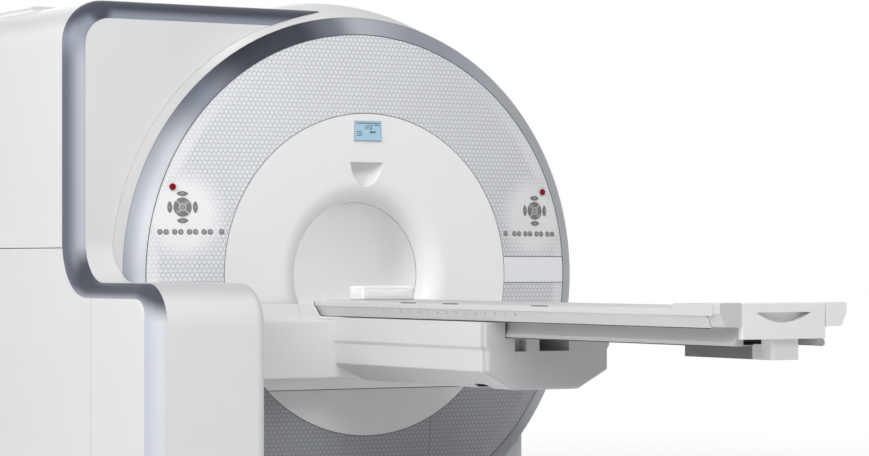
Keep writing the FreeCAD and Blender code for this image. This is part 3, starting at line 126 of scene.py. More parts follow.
# paints, mouldings and prints: light and dark shade, least and most roughness, then grain in metres, bump,
# coat and specular level where they aren't the usual ones
paints = {
    # two-pack polyurethane sprayed on glass-fibre covers: even, satin, a trace of orange peel
    "sprayedPolyurethane": ("#dddddd", "#d9d9da", 0.42, 0.5),
    # the same, polished on the rounded funnel and the roof's light seal: tighter highlights
    "polishedPolyurethane": ("#f7f7f7", "#f4f4f5", 0.36, 0.44),
    # carbon-epoxy corner cap, filled and sprayed: satin, faintly uneven, greyer as a painted shade on its
    # lamp side
    "paintedCarbonEpoxy": ("#cfcfd0", "#cbcbcd", 0.4, 0.48),
    # reaction-moulded end cover and other cap, whiter as painted light on their front faces
    "mouldedPolyurethane": ("#f2f2f3", "#eeeeef", 0.4, 0.48),
    # vacuum-formed ABS: the housing sprayed, the nose greyer as a painted shade under the table top
    "paintedAbs": ("#d8d8d9", "#d4d4d6", 0.42, 0.5),
    "mouldedNose": ("#c3c3c5", "#bebec1", 0.42, 0.5),
    # pultruded glass-fibre rail, sprayed, and darker as a painted shade under the table top
    "paintedPultrusion": ("#b6b6b8", "#b1b1b3", 0.4, 0.48),
    # gel-coated glass-fibre bore tube: smooth, faintly warm white
    "gelCoatedFibreglass": ("#f4f3f4", "#f0eff0", 0.4, 0.48),
    # injection-moulded ABS: the laser's scoop, and the display's bluish, vapour-polished bezel
    "mouldedAbs": ("#f3f3f4", "#eeeef0", 0.35, 0.45),
    "tintedAbs": ("#9fb3c2", "#98acbb", 0.35, 0.45, 0.001),
    # thermoformed polycarbonate plate, cool white
    "formedPolycarbonate": ("#fbfcff", "#f7f8fb", 0.36, 0.44),
    # polycarbonate key caps from an eroded mould, and silicone keys, which are duller
    "erodedPolycarbonate": ("#7d7d7f", "#77777a", 0.42, 0.52, 0.0008),
    "mouldedSilicone": ("#7b7c80", "#757679", 0.55, 0.66, 0.0008),
    # dyed polycarbonate buttons from a polished mould: deep red with a soft shine
    "dyedPolycarbonate": ("#8c0a1c", "#820819", 0.32, 0.4, 0.001, 0.03, 0.0, 0.15),
    # powder coat baked on welded steel: pebbly, matt
    "powderCoatedSteel": ("#8e9196", "#868a90", 0.5, 0.62, 0.0015, 0.12),
    # thermoformed ABS skirt along the floor
    "formedAbs": ("#c9cbce", "#c3c5c9", 0.42, 0.5),
    # moulded rubber wedges, black and dull; extruded strips, smoother, painting shadow lines; silicone
    # gaskets, greyer
    "mouldedRubber": ("#2a2a2b", "#232324", 0.7, 0.8, 0.002, 0.1),
    "extrudedRubber": ("#3a3a3c", "#333335", 0.6, 0.7, 0.001, 0.06),
    "extrudedSilicone": ("#3f4247", "#393b40", 0.5, 0.6, 0.001),
    # vacuum-cast epoxy round the windings: amber, glossy
    "castEpoxy": ("#8a6a3c", "#7c5e34", 0.25, 0.35, 0.01),
    # screen-printed, pad-printed and liquid-crystal marks: thin, matt
    "screenInk": ("#77777b", "#707074", 0.5, 0.6, 0.001),
    "padInk": ("#dcdcde", "#d3d3d6", 0.45, 0.55, 0.001),
    "crystalInk": ("#32495a", "#2b4252", 0.3, 0.4, 0.001),
    # indium-coated glass of the liquid-crystal pane: pale blue, smooth
    "coatedGlass": ("#b3d5e9", "#a9cde4", 0.16, 0.24, 0.001, 0.03, 0.5),
}


def makePaint(name, light, dark, low, high, grain=0.004, bump=0.03, coat=0.0, specular=0.5, drift=0.6,
        metallic=0.0):
    made = newMaterial(name, light, low, Coat_Weight=coat, Specular_IOR_Level=specular, Metallic=metallic)
    roughen(*made, grain, bump, low, high)
    tint(*made, drift, light, dark)


for name, row in paints.items():
    makePaint(name, *row)

# metals: light and dark shade, least and most roughness, grain in metres
metals = {
    "brushedStainless": ("#b9babc", "#adaeb1", 0.38, 0.5, 0.003),  # brushed sheet: broad soft shine
    "groundSteel": ("#c4c4c6", "#b6b6b9", 0.2, 0.3, 0.001),  # ground: bright, narrow shine
    "blastedAluminium": ("#c9cacc", "#bfc0c3", 0.4, 0.5, 0.002),  # bead blasted: pale, even
    "etchedCopper": ("#c98a62", "#b87b55", 0.3, 0.42, 0.002),  # etched foil: warm, satin
}
for name, row in metals.items():
    makePaint(name, *row, bump=0.05, drift=0.2, metallic=1.0)

# finishes that change along one axis: where from and to in metres, and both shades. As painted shade the
# paint is greyer beside the tower, on the tower's rounded top, on the shelf, and on the board, most on its
# top. The nylon dock is dark from Y -3.632 back and light from -3.640 forward
fades = {
    "drumPolyurethane": ("X", -0.52, -0.78, "#dcdcdc", "#bebebf"),
    "towerPolyurethane": ("Z", 2.13, 2.21, "#dddddd", "#c8c9c8"),
    "pedestalPolyurethane": ("Z", 1.06, 1.12, "#dddddd", "#c6c6c7"),
    "boardEpoxy": ("Z", 1.0575, 1.0625, "#cfcfd0", "#c2c2c3"),
    "glassFilledNylon": ("Y", -3.632, -3.640, "#77787a", "#dfdfe0", 0.003, 0.05, 0.45, 0.55, "LINEAR"),
}


def makeFade(name, axis, start, end, near, far, grain=0.004, bump=0.03, low=0.44, high=0.52,
        step="SMOOTHSTEP"):
    add, surface, coords = newMaterial(name, near, low)
    where = add("SeparateXYZ", [coords])
    share = add("MapRange", [(where, axis), start, end], interpolation_type=step)
    tone = add("Mix", {0: share, 6: near, 7: far}, data_type="RGBA")
    roughen(add, surface, coords, grain, bump, low, high, color=tone)


for name, row in fades.items():
    makeFade(name, *row)

# lacquers: grain in metres, bump, least and most roughness
lacquer = (0.002, 0.02, 0.40, 0.48)

# metallic lacquer sprayed on the edge trim, with painted shade and reflection: darker on its outer side than
# on its inner, greyer along the top, dark where it faces up and darkest round the upper corner's bend, and
# pale near the floor as painted light
trimShadeAndReflection = {"outer": "#5d6270", "inner": "#b8bcc4", "top": "#8b919e", "low": "#bbc0ca", "lowInner": "#d5d9de",
    "dark": "#353a45", "darkFrom": 0.02, "darkTo": 0.60, "darkMost": 0.95, "shelfFrom": 1.055,
    "shelfTo": 1.135, "topFrom": 1.98, "topTo": 2.17, "inwardFrom": -0.98, "inwardTo": -0.12,
    "corner": (-1.133, -0.824, 2.215), "cornerFrom": 0.066, "cornerTo": 0.022}


def makeShadedMetallicLacquer():
    its = trimShadeAndReflection
    add, surface, coords = newMaterial("metallicLacquer", its["outer"], 0.42, Specular_IOR_Level=0.3)
    facing = add("SeparateXYZ", [(add("NewGeometry"), "Normal")])
    where = add("SeparateXYZ", [coords])
    reach = add("VectorMath", [coords, its["corner"]], operation="DISTANCE")
    most = its["darkMost"]
    share = {"bare": 0.0}
    # shares of painted shade and reflection: by facing inward, height, the shelf, facing up, and the upper
    # corner
    for word, value, low, high in (
            ("inward", (facing, "X"), "bare", 1.0), ("top", (where, "Z"), "bare", 1.0),
            ("shelf", (where, "Z"), "bare", 1.0), ("dark", (facing, "Z"), "bare", most),
            ("corner", (reach, "Value"), "dark", most)):
        ends = [its[word + "From"], its[word + "To"], share[low], high]
        share[word] = add("MapRange", [value] + ends, **ease)
    tones = dict(its)
    for word, by, under, over in (
            ("upper", "inward", "outer", "inner"), ("crown", "top", "upper", "top"),
            ("lower", "inward", "low", "lowInner"), ("side", "shelf", "lower", "crown"),
            ("final", "corner", "side", "dark")):
        mix = add("Mix", {0: share[by], 6: tones[under], 7: tones[over]}, data_type="RGBA")
        tones[word] = (mix, 2)
    roughen(add, surface, coords, *lacquer, color=mix)


makeShadedMetallicLacquer()

# the same lacquer round the face ring, with painted light, shade and reflection: a soft sweep of light and
# dark by angle (degrees from +X), and a painted shade darker towards its outer edge on the left
ringShadeAndReflection = {"stops": [(-90, "#85888f"), (-45, "#888b93"), (-30, "#b5b8be"), (0, "#c0c3c9"), (45, "#b5b8c0"),
    (75, "#969aa4"), (90, "#b0b4bc"), (98, "#6a6e77"), (106, "#33363f"), (121, "#30333d"), (136, "#7a8089"),
    (152, "#bdc1c7"), (168, "#d2d6dc"), (190, "#c0c5cc"), (225, "#b0b4bb"), (270, "#85888f")],
    "edge": "#bcbfc5", "edgeFrom": 1.004, "edgeTo": 1.066, "leftFrom": 0.0, "leftTo": -0.6}


def makeShadedSatinLacquer():
    its = ringShadeAndReflection
    add, surface, coords = newMaterial("satinLacquer", its["edge"], 0.42, Specular_IOR_Level=0.3)
    centred, flat = aroundBore(add, coords)
    angle = add("Math", [(flat, "Z"), (flat, "X")], operation="ARCTAN2")
    turn = add("Math", [angle, 0.5 / pi, 0.25], operation="MULTIPLY_ADD")
    share = add("Math", [turn, 1.0], operation="FLOORED_MODULO")
    # the ramp's stops paint light, shade and reflection round the ring
    ramp = add("ValToRGB", [share])
    stops = [((degree + 90) / 360, srgb(tone)) for degree, tone in its["stops"]]
    for position, tone in stops[1:-1]:
        ramp.color_ramp.elements.new(position).color = tone
    for end in (0, -1):
        ramp.color_ramp.elements[end].color = stops[end][1]
    ramp.color_ramp.interpolation = "EASE"
    radius = add("VectorMath", [centred], operation="LENGTH")
    edge, left = [add("MapRange", [value, its[word + "From"], its[word + "To"]], **ease)
                  for word, value in (("edge", (radius, "Value")), ("left", (flat, "X")))]
    both = add("Math", [edge, left], operation="MULTIPLY")
    final = add("Mix", {0: both, 6: ramp, 7: its["edge"]}, data_type="RGBA", blend_type="MULTIPLY")
    roughen(add, surface, coords, *lacquer, color=final)


makeShadedSatinLacquer()

# cast acrylic, tinted brown: the lasers shine through it
acrylic = {"light": "#5a4c4c", "dark": "#544646", "roughness": 0.08, "clear": 0.6}


def makeAcrylic():
    its = acrylic
    made = newMaterial("tintedAcrylic", its["light"], its["roughness"], Transmission_Weight=its["clear"],
        IOR=1.49)
    tint(*made, 0.03, its["light"], its["dark"])


makeAcrylic()

# polycarbonate film with a honeycomb printed on its back: fine grey lines on a pale ground, which fade out
# towards the controls; a painted highlight pales it in a band along the trim ring, and a painted shade
# darkens it low down, under the table
honeycomb = {"pitch": 0.0200, "lineFrom": 0.415, "lineTo": 0.475, "cellLight": "#e6e8ec",
    "cellDark": "#dddee3", "drift": 2.2, "lineColor": "#a0a3ab", "plain": "#f4f4f5", "fadeCentreX": 0.838,
    "fadeCentreZ": 0.24, "fadeNear": 0.10, "fadeFar": 0.21, "fadeMost": 0.85, "highlightNear": 0.925,
    "highlightFar": 0.955, "highlightMost": 0.55, "highlightHigh": 0.42, "highlightTop": 0.9, "shadeFrom": -0.2, "shadeTo": -0.5,
    "paintedLowShade": "#a9aaae"}


def hexDistance(add, flat):
    # distance to the middle of the nearest cell of a hexagonal grid, 0.5 at the middle of a cell's side
    reaches = []
    for shift in (0.0, 0.5):
        sides = []
        for axis, pitch in (("X", honeycomb["pitch"]), ("Z", honeycomb["pitch"] * sqrt(3))):
            cells = add("Math", [(flat, axis), 1 / pitch, shift], operation="MULTIPLY_ADD")
            within = add("Math", [cells, 1.0], operation="FLOORED_MODULO")
            offset = add("Math", [within, 0.5], operation="SUBTRACT")
            sides.append(add("Math", [offset], operation="ABSOLUTE"))
        steep = add("Math", [sides[1], 1.5], operation="MULTIPLY")
        slanted = add("Math", [sides[0], 0.5, steep], operation="MULTIPLY_ADD")
        reaches.append(add("Math", [sides[0], slanted], operation="MAXIMUM"))
    return add("Math", reaches, operation="MINIMUM")


def makePrintedFilmWithPaintedLight():
    its = honeycomb
    add, surface, coords = newMaterial("printedPolycarbonate", its["cellLight"], 0.3)
    centred, flat = aroundBore(add, coords)
    line = add("MapRange", [hexDistance(add, flat), its["lineFrom"], its["lineTo"]])
    noise = add("TexNoise", {"Vector": coords, "Scale": its["drift"], "Detail": 1.0})
    across, height = [add("Math", [(flat, axis)], operation="ABSOLUTE") for axis in "XZ"]
    sideways = add("Math", [across, its["fadeCentreX"]], operation="SUBTRACT")
    upwards = add("Math", [(flat, "Z"), its["fadeCentreZ"]], operation="SUBTRACT")
    away = add("CombineXYZ", {"X": sideways, "Z": upwards})
    spot, radius = [add("VectorMath", [vector], operation="LENGTH") for vector in (away, centred)]
    spread = {"fade": [(spot, "Value"), its["fadeNear"], its["fadeFar"], its["fadeMost"], 0.0],
              "outer": [(radius, "Value"), its["highlightNear"], its["highlightFar"]],
              "level": [height, its["highlightHigh"], its["highlightTop"], its["highlightMost"], 0.0],
              "low": [(flat, "Z"), its["shadeFrom"], its["shadeTo"]]}
    fade, outer, level, low = [add("MapRange", ends, **ease) for ends in spread.values()]
    highlight = add("Math", [outer, level], operation="MULTIPLY")
    faded = add("Math", [fade, highlight], operation="MAXIMUM")
    tone = its["cellLight"]
    # the plain mix holds the fade by the controls and the painted highlight by the ring; the last, a painted
    # shade
    for share, over, blend in ((noise, "cellDark", "MIX"), (line, "lineColor", "MIX"),
                               (faded, "plain", "MIX"), (low, "paintedLowShade", "MULTIPLY")):
        mix = add("Mix", {0: share, 6: tone, 7: its[over]}, data_type="RGBA", blend_type=blend)
        tone = (mix, 2)
    roughen(add, surface, coords, 0.003, 0.02, 0.28, 0.36, color=mix)


makePrintedFilmWithPaintedLight()

# which material each CAD node gets
dress = {
    "drumPolyurethane": "drum_cover_front",
    "sprayedPolyurethane": "drum_cover_rear rear_cover rear_roof_cover funnel_lower_panel tower_front_panel "
                           "side_cover_lower pedestal_side_cover arm_cover",
    "polishedPolyurethane": "front_funnel",
    "formedPolycarbonate": "bare_plate",
    "paintedAbs": "table_housing",
    "mouldedNose": "housing_nose",
    "printedPolycarbonate": "face_panel control_plate_left control_plate_right",
    "metallicLacquer": "edge_trim",
    "satinLacquer": "trim_ring",
    "gelCoatedFibreglass": "bore_liner",
    "towerPolyurethane": "side_cover_upper",
    "pedestalPolyurethane": "pedestal_cover",
    "boardEpoxy": "table_board",
    "mouldedAbs": "laser_housing",
    "tintedAbs": "display_module",
    "tintedAcrylic": "laser_window",
    "mouldedSilicone": "key_mat_left key_mat_right",
    "dyedPolycarbonate": "stop_button_left stop_button_right",
    "powderCoatedSteel": "base_frame lift_column arm_beam lift_carriage",
    "groundSteel": "lift_screw",
    "formedAbs": "plinth_skirt",
    "brushedStainless": "magnet_vessel",
    "castEpoxy": "gradient_coil",
    "mouldedRubber": "gradient_wedges",
    "blastedAluminium": "detector_ring",
    "etchedCopper": "body_coil",
    "paintedCarbonEpoxy": "corner_cap_left",
    "mouldedPolyurethane": "end_cover corner_cap_right",
    "paintedPultrusion": "table_rail",
    "glassFilledNylon": "dock_frame",
    "erodedPolycarbonate": " ".join(name for name in nodes if name.endswith("_key")),
}


def paint(mesh, finish):
    mesh.materials.clear()
    mesh.materials.append(bpy.data.materials[finish])


for finish, names in dress.items():
    for name in names.split():
        paint(nodes[name].data, finish)
print("materials assigned")


def linkedObject(name, data):
    item = bpy.data.objects.new(name, data)
    scene.collection.objects.link(item)
    return item


def evaluatedMesh(item):
    bpy.context.view_layer.update()
    return bpy.data.meshes.new_from_object(item.evaluated_get(bpy.context.evaluated_depsgraph_get()))


def fromBmesh(name, work, smooth=False):
    bmesh.ops.recalc_face_normals(work, faces=work.faces)
    mesh = bpy.data.meshes.new(name)
    work.to_mesh(mesh)
    work.free()
    if smooth:
        mesh.shade_smooth()
    return mesh


def addPiece(name, shape, finish, body="gantry", smooth=False):
    # shape: a mesh, or a bmesh that becomes one
    mesh = shape if isinstance(shape, bpy.types.Mesh) else fromBmesh(name, shape, smooth)
    piece = linkedObject(name, mesh)
    paint(mesh, finish)
    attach(piece, body)


def growMesh(name, inputs, build, finish, matrix=Matrix()):
    # a Geometry Nodes tree with named inputs, turned into a plain mesh and moved
    tree = bpy.data.node_groups.new(name, "GeometryNodeTree")
    add = partial(addNode, tree)
    kinds = {float: "NodeSocketFloat", int: "NodeSocketInt"}
    keys = {word: tree.interface.new_socket(word, in_out="INPUT", socket_type=kinds[type(value)]).identifier
        for word, value in inputs.items()}
    tree.interface.new_socket("Geometry", in_out="OUTPUT", socket_type="NodeSocketGeometry")
    given = add("NodeGroupInput")
    real = add("RealizeInstances", [build(add, given)])
    painted = add("SetMaterial", {"Geometry": real, "Material": bpy.data.materials[finish]})
    add("NodeGroupOutput", [painted])
    carrier = linkedObject(name + "Carrier", bpy.data.meshes.new(name + "Carrier"))
    modifier = carrier.modifiers.new(name, "NODES")
    modifier.node_group = tree
    for word, value in inputs.items():
        modifier[keys[word]] = value
    mesh = evaluatedMesh(carrier)
    mesh.name = name
    mesh.transform(matrix)
    mesh.update()
    bpy.data.objects.remove(carrier)
    return mesh


def turned(degrees, axis):
    return Matrix.Rotation(radians(degrees), 4, axis)


def around(centre, radius, angle):
    return centre[0] + radius * cos(angle), centre[1] + radius * sin(angle)


def addWalls(work, outlines, ends="capped"):
    # walls from each outline of points to the next. The ends are capped, joined to each other, or left open
    rings = [[work.verts.new(point) for point in outline] for outline in outlines]
    count = len(rings[0])
    for near, far in zip(rings, rings[1:] + (rings[:1] if ends == "joined" else [])):
        for i in range(count):
            work.faces.new((near[i], near[(i + 1) % count], far[(i + 1) % count], far[i]))
    if ends == "capped":
        work.faces.new(rings[0])
        work.faces.new(rings[-1])
    return rings


def box(x0, x1, y0, y1):
    return [(x0, y0), (x1, y0), (x1, y1), (x0, y1)]


# thin rubber gaskets in the round joints: bore to funnel, funnel to panel, and panel to trim ring
gaskets = {
    "throatGasket": {"depth": 117.0, "radius": 0.3002, "thickness": 0.0013, "segments": 120, "sides": 6},
    "rimGasket": {"depth": 1.6, "radius": 0.6655, "thickness": 0.0015, "segments": 160, "sides": 6},
    "panelGasket": {"depth": 43.1, "radius": 0.9925, "thickness": 0.0018, "segments": 160, "sides": 6},
}


def makeGasket(name, depth, **inputs):

    def build(add, given):
        ring, section = [
            add("CurvePrimitiveCircle", {"Resolution": (given, count), "Radius": (given, radius)})
            for count, radius in (("segments", "radius"), ("sides", "thickness"))]
        swept = add("CurveToMesh", {"Curve": ring, "Profile Curve": section})
        return add("SetShadeSmooth", [swept])

    matrix = Matrix.Translation(fromBore(0, depth, 0)) @ turned(90, "X")
    mesh = growMesh(name, inputs, build, "extrudedSilicone", matrix)
    addPiece(name, mesh, "extrudedSilicone")


for name, its in gaskets.items():
    makeGasket(name, **its)

# straight gaskets above and below the bare plate, laid on the cone of the face
plateBorder = {"inner": 668.5, "outer": 990.0, "levels": (75.0, -35.0), "halfWidth": 1.3, "rise": 0.5,
    "sink": 0.6, "steps": 24}


def makePlateBorder():
    its = plateBorder
    work = bmesh.new()
    slope = cone["drop"] / (cone["panelR"] - cone["rimR"])
    for level in its["levels"]:
        start, end = (sqrt(its[word] ** 2 - level ** 2) for word in ("inner", "outer"))
        loops = []
        for i in range(its["steps"] + 1):
            x = start + (end - start) * i / its["steps"]
            loop = []
            for up, depth in ((-1, its["sink"]), (-1, -its["rise"]), (1, -its["rise"]), (1, its["sink"])):
                z = level + up * its["halfWidth"]
                loop.append(fromBore(x, (hypot(x, z) - cone["rimR"]) * slope + depth, z))
            loops.append(loop)
        addWalls(work, loops)
    addPiece("plateBorder", work, "extrudedSilicone")


makePlateBorder()

# scale along both sides of the table top: a number every 137 mm, with marks between them
scaleMarks = {"first": -562.0, "spacing": 0.137, "count": 8, "width": 0.0022, "height": 0.014,
    "relief": 0.0005, "sideX": 255.6, "level": -140.0, "slope": 25.0, "textSize": 0.0196}


def makeScaleMarks():
    its = scaleMarks
    slope = radians(its["slope"])

    def build(add, given):
        back = add("ShaderNodeMath", [(given, "spacing"), -1.0], operation="MULTIPLY")
        offset = add("ShaderNodeCombineXYZ", {"Y": back})
        size = add("ShaderNodeCombineXYZ", [(given, "relief"), (given, "width"), (given, "height")])
        joined = add("JoinGeometry")
        for side in (-1, 1):
            start = tuple(fromBore(side * its["sideX"], its["first"] - its["spacing"] / mm / 2, its["level"]))
            line = add("MeshLine", {"Count": (given, "count"), "Start Location": start, "Offset": offset})
            mark = add("MeshCube", {"Size": size})
            lean = (0.0, side * slope, 0.0)
            placed = add("InstanceOnPoints", {"Points": line, "Instance": mark, "Rotation": lean})
            feed(joined, [placed])
        return joined

    inputs = {word: its[word] for word in ("spacing", "width", "height", "relief")}
    mesh = growMesh("scaleMarks", {"count": its["count"] - 1, **inputs}, build, "screenInk")
    addPiece("scaleMarks", mesh, "screenInk", "table_top")


def makeScaleNumbers():
    its = scaleMarks
    work = bmesh.new()
    for side in (-1, 1):
        pose = turned(side * its["slope"], "Y") @ turned(side * 90, "Z") @ turned(90, "X")
        for i in range(its["count"]):
            text = bpy.data.curves.new("number", "FONT")
            text.body = str(i + 1)
            text.size = its["textSize"]
            text.extrude = its["relief"] / 2
            text.align_x = text.align_y = "CENTER"
            text.resolution_u = 3
            holder = linkedObject("number", text)
            mesh = bpy.data.meshes.new_from_object(holder)
            at = fromBore(side * its["sideX"], its["first"] - i * its["spacing"] / mm, its["level"])
            mesh.transform(Matrix.Translation(at) @ pose)
            work.from_mesh(mesh)
            bpy.data.objects.remove(holder)
    mesh = bpy.data.meshes.new("scaleNumbers")
    work.to_mesh(mesh)
    work.free()
    addPiece("scaleNumbers", mesh, "screenInk", "table_top")


makeScaleMarks()
makeScaleNumbers()
print("gasket and scale made")

# on the table top: dark rubber on the head end and under its edges, painting shadow lines, and collars round
# the sockets
boardTrim = {"lowX": 243.0, "rimX": 265.0, "lowZ": -166.99, "rimZ": -107.99, "midZ": -101.99, "rimSide": 17.5,
    "edge": 2.0, "bevel": 5.0, "rimWidth": 50.0, "slope": 32.0, "headTop": -20.0, "headLow": -32.0,
    "shadowBand": 6.0, "inset": 1.0, "shadowStripWidth": 4.0, "shadowStripHeight": 2.2, "shadowStripGrip": 0.3, "shadowStripTaper": 0.6,
    "shadowStripBack": -36.0, "shadowStripFront": -2690.0, "collarX": 243.0, "collarPlaces": (-734.0, -1046.0, -1661.0),
    "collarR": 12.0, "collarLength": 96.0, "collarWall": 2.2, "collarRise": 3.0, "collarSink": 10.0,
    "collarGap": 0.1, "collarBevel": 0.6, "collarSteps": 12}


def makeHeadShadowBand():
    # a dark band on the slanted head end, a painted shadow line
    its = boardTrim
    rimX, rimZ, midZ = its["rimX"], its["rimZ"], its["midZ"]
    inner, low = rimX - its["rimWidth"], rimZ - its["rimSide"]
    half = [(0, midZ), (inner - its["slope"], midZ), (inner, rimZ), (rimX - its["edge"], rimZ),
            (rimX, rimZ - its["edge"]), (rimX, low), (rimX - its["bevel"], low - its["bevel"]),
            (its["lowX"], its["lowZ"] + its["inset"])]
    outline = half + [(-x, z) for x, z in reversed(half[1:])]
    lean = (its["headTop"] - its["headLow"]) / (midZ - its["lowZ"])
    work = bmesh.new()
    loops = addWalls(work, [
        [fromBore(x, its["headLow"] + (z - its["lowZ"]) * lean + out, z) for x, z in outline]
        for out in (0.0, its["shadowBand"])], "open")
    count = len(outline)
    # each end is filled in quads between both halves, so that its faces stay convex
    for loop in loops:
        for i in range(1, count // 2):
            j = count - i
            if i + 1 < j - 1:
                work.faces.new((loop[i], loop[i + 1], loop[j - 1], loop[j]))
        work.faces.new((loop[0], loop[1], loop[count - 1]))
    addPiece("headBumper", work, "extrudedRubber", "table_top")


def makeStrips(name, section, front, back):
    # a dark rubber strip of constant section under either side, painting a shadow line
    work = bmesh.new()
    for side in (-1, 1):
        addWalls(work, [[fromBore(side * x, y, z) for x, z in section] for y in (front, back)])
    addPiece(name, work, "extrudedRubber", "table_top")


def makeEdgeShadowStrips():
    its = boardTrim
    outer = its["lowX"] - its["inset"]
    inner = outer - its["shadowStripWidth"]
    top, low = its["lowZ"] + its["shadowStripGrip"], its["lowZ"] - its["shadowStripHeight"]
    section = [(outer, top), (inner, top), (inner + its["shadowStripTaper"], low), (outer - its["shadowStripTaper"], low)]
    makeStrips("edgeSeals", section, its["shadowStripFront"], its["shadowStripBack"])


def makeSocketCollars():
    its = boardTrim
    steps = its["collarSteps"]
    straight = its["collarLength"] / 2 - its["collarR"]
    outer, inner = its["collarR"] - its["collarGap"], its["collarR"] - its["collarWall"]
    sink, rise, bevel = its["collarSink"], its["collarRise"], its["collarBevel"]
    work = bmesh.new()
    for side in (-1, 1):
        for spot in its["collarPlaces"]:
            loops = []
            for radius, level in ((outer, -sink), (outer, rise - bevel), (outer - bevel, rise),
                                  (inner, rise), (inner, -sink)):
                loop = []
                for turn in range(2 * steps + 2):
                    half, k = divmod(turn, steps + 1)
                    angle = pi * (half + k / steps)
                    centre = side * its["collarX"], spot + (-straight if half else straight)
                    loop.append(fromBore(*around(centre, radius, angle), its["rimZ"] + level))
                loops.append(loop)
            addWalls(work, loops, "joined")
    addPiece("socketCollars", work, "extrudedSilicone", "table_top")


makeHeadShadowBand()
makeEdgeShadowStrips()
makeSocketCollars()

# dark rubber strips under the rail's lips, painting the shadow line beneath them
railShadowStrip = {"inner": 181.0, "outer": 186.5, "top": -227.0, "low": -230.2, "front": -2750.0, "back": -114.0,
    "taper": 0.6, "edge": 0.8}


def makeRailShadowStrips():
    its = railShadowStrip
    inner, outer, low = its["inner"], its["outer"], its["low"]
    section = [(inner, its["top"]), (outer, its["top"]), (outer - its["taper"], low + its["edge"]),
        ((inner + outer) / 2, low), (inner + its["taper"], low + its["edge"])]
    makeStrips("railSeals", section, its["front"], its["back"])


makeRailShadowStrips()

# display: pane with generic figures. Headers, levels and dashes are (left, right, low, high) from its middle
display = {"front": 1.91, "middleZ": 592.5, "width": 121.0, "height": 76.0, "corner": 3.0, "cornerSteps": 5,
           "pane": 1.0, "proud": 0.15, "sunk": 0.2, "gap": 0.3, "digits": "120", "digitWidth": 11.0,
           "digitHeight": 17.0, "bar": 3.2, "digitLeft": -24.0, "digitLow": 7.0,
           "headers": [(-56, 56, 30, 33.5), (28, 56, 22, 25)],
           "levels": [(8 + i * 6, 12.5 + i * 6, -7 - i % 2 * 3, 0) for i in range(5)],
           "dashes": [(-54, -30 + i % 2 * 6, -4 - i * 8, -1 - i * 8) for i in range(3)]}
segmentsOf = {"0": "abcdef", "1": "bc", "2": "abged", "3": "abgcd", "4": "fgbc", "5": "afgcd", "6": "afgedc",
    "7": "abc", "8": "abcdefg", "9": "abcdfg"}


def addPlate(work, corners, front, back):
    # flat plate facing the patient side, from corners (x, z) in millimetres
    addWalls(work, [[fromBore(x, y, z) for x, z in corners] for y in (front, back)])


def roundedCorners(x0, x1, z0, z1, radius, steps):
    corners = []
    for centre, start in (((x1 - radius, z1 - radius), 0), ((x0 + radius, z1 - radius), 90),
                          ((x0 + radius, z0 + radius), 180), ((x1 - radius, z0 + radius), 270)):
        corners += [around(centre, radius, radians(start + 90 * i / steps)) for i in range(steps + 1)]
    return corners


def makeDisplay():
    its = display
    halfX, halfZ, middle = its["width"] / 2, its["height"] / 2, its["middleZ"]
    front = its["front"] - its["pane"]
    pane = bmesh.new()
    outline = roundedCorners(-halfX, halfX, middle - halfZ, middle + halfZ, its["corner"], its["cornerSteps"])
    addPlate(pane, outline, front, its["front"])
    addPiece("lcdPane", pane, "coatedGlass")
    w, h, bar = its["digitWidth"], its["digitHeight"], its["bar"]
    segments = {"a": (0, w, h - bar, h), "b": (w - bar, w, h / 2, h), "c": (w - bar, w, 0, h / 2),
                "d": (0, w, 0, bar), "e": (0, bar, 0, h / 2), "f": (0, bar, h / 2, h),
                "g": (0, w, h / 2 - bar / 2, h / 2 + bar / 2)}
    bars = []
    gap, low = its["gap"], its["digitLow"]
    for i, digit in enumerate(its["digits"]):
        left = its["digitLeft"] + i * w * 1.5
        for x0, x1, z0, z1 in (segments[segment] for segment in segmentsOf[digit]):
            bars.append((left + x0 + gap, left + x1 - gap, low + z0 + gap, low + z1 - gap))
    figures = bmesh.new()
    for x0, x1, z0, z1 in bars + its["headers"] + its["levels"] + its["dashes"]:
        addPlate(figures, box(x0, x1, middle + z0, middle + z1), front - its["proud"], front + its["sunk"])
    addPiece("lcdFigures", figures, "crystalInk")


makeDisplay()
print("display and seals made")

# marks printed on the keys' faces, and light ribs between the keys (millimetres)
keyMarks = {"centreX": 837.98, "centreZ": 270.99, "rise": 2.0, "print": 0.12, "sink": 0.2, "reach": 54.0,
    "arrow": 5.5, "arrowLow": 0.4, "arrowHigh": 0.55, "line": 1.3, "wing": 1.2, "tip": 1.4, "ring": 6.2,
    "centreBar": (0.7, 2.6), "slit": 45.0, "ribInner": 11.5, "ribOuter": 13.5, "ribHalf": 0.75,
    "ribEnd": 37.6, "ribDrop": 0.05, "ribSteps": 32, "symbolAt": 26.0, "symbolBars": (9.0, 6.0, 9.0),
    "symbolPitch": 4.2, "symbolHalf": 0.7, "edgeRing": (16.2, 14.6), "edgeTurn": 84.0, "edgeSteps": 24,
    "edgeLine": (16.4, 36.4, 1.6, 2.6), "smallZ": -99.0, "smallPitch": 26.0, "smallFirst": -83.5,
    "smallLast": 164.3, "pairs": 4, "smallRing": (5.4, 4.3), "smallSteps": 16, "smallGap": 60.0,
    "smallBar": (2.4, 0.55), "smallStem": (0.7, 2.6)}
lean = atan2(cone["drop"], cone["panelR"] - cone["rimR"])


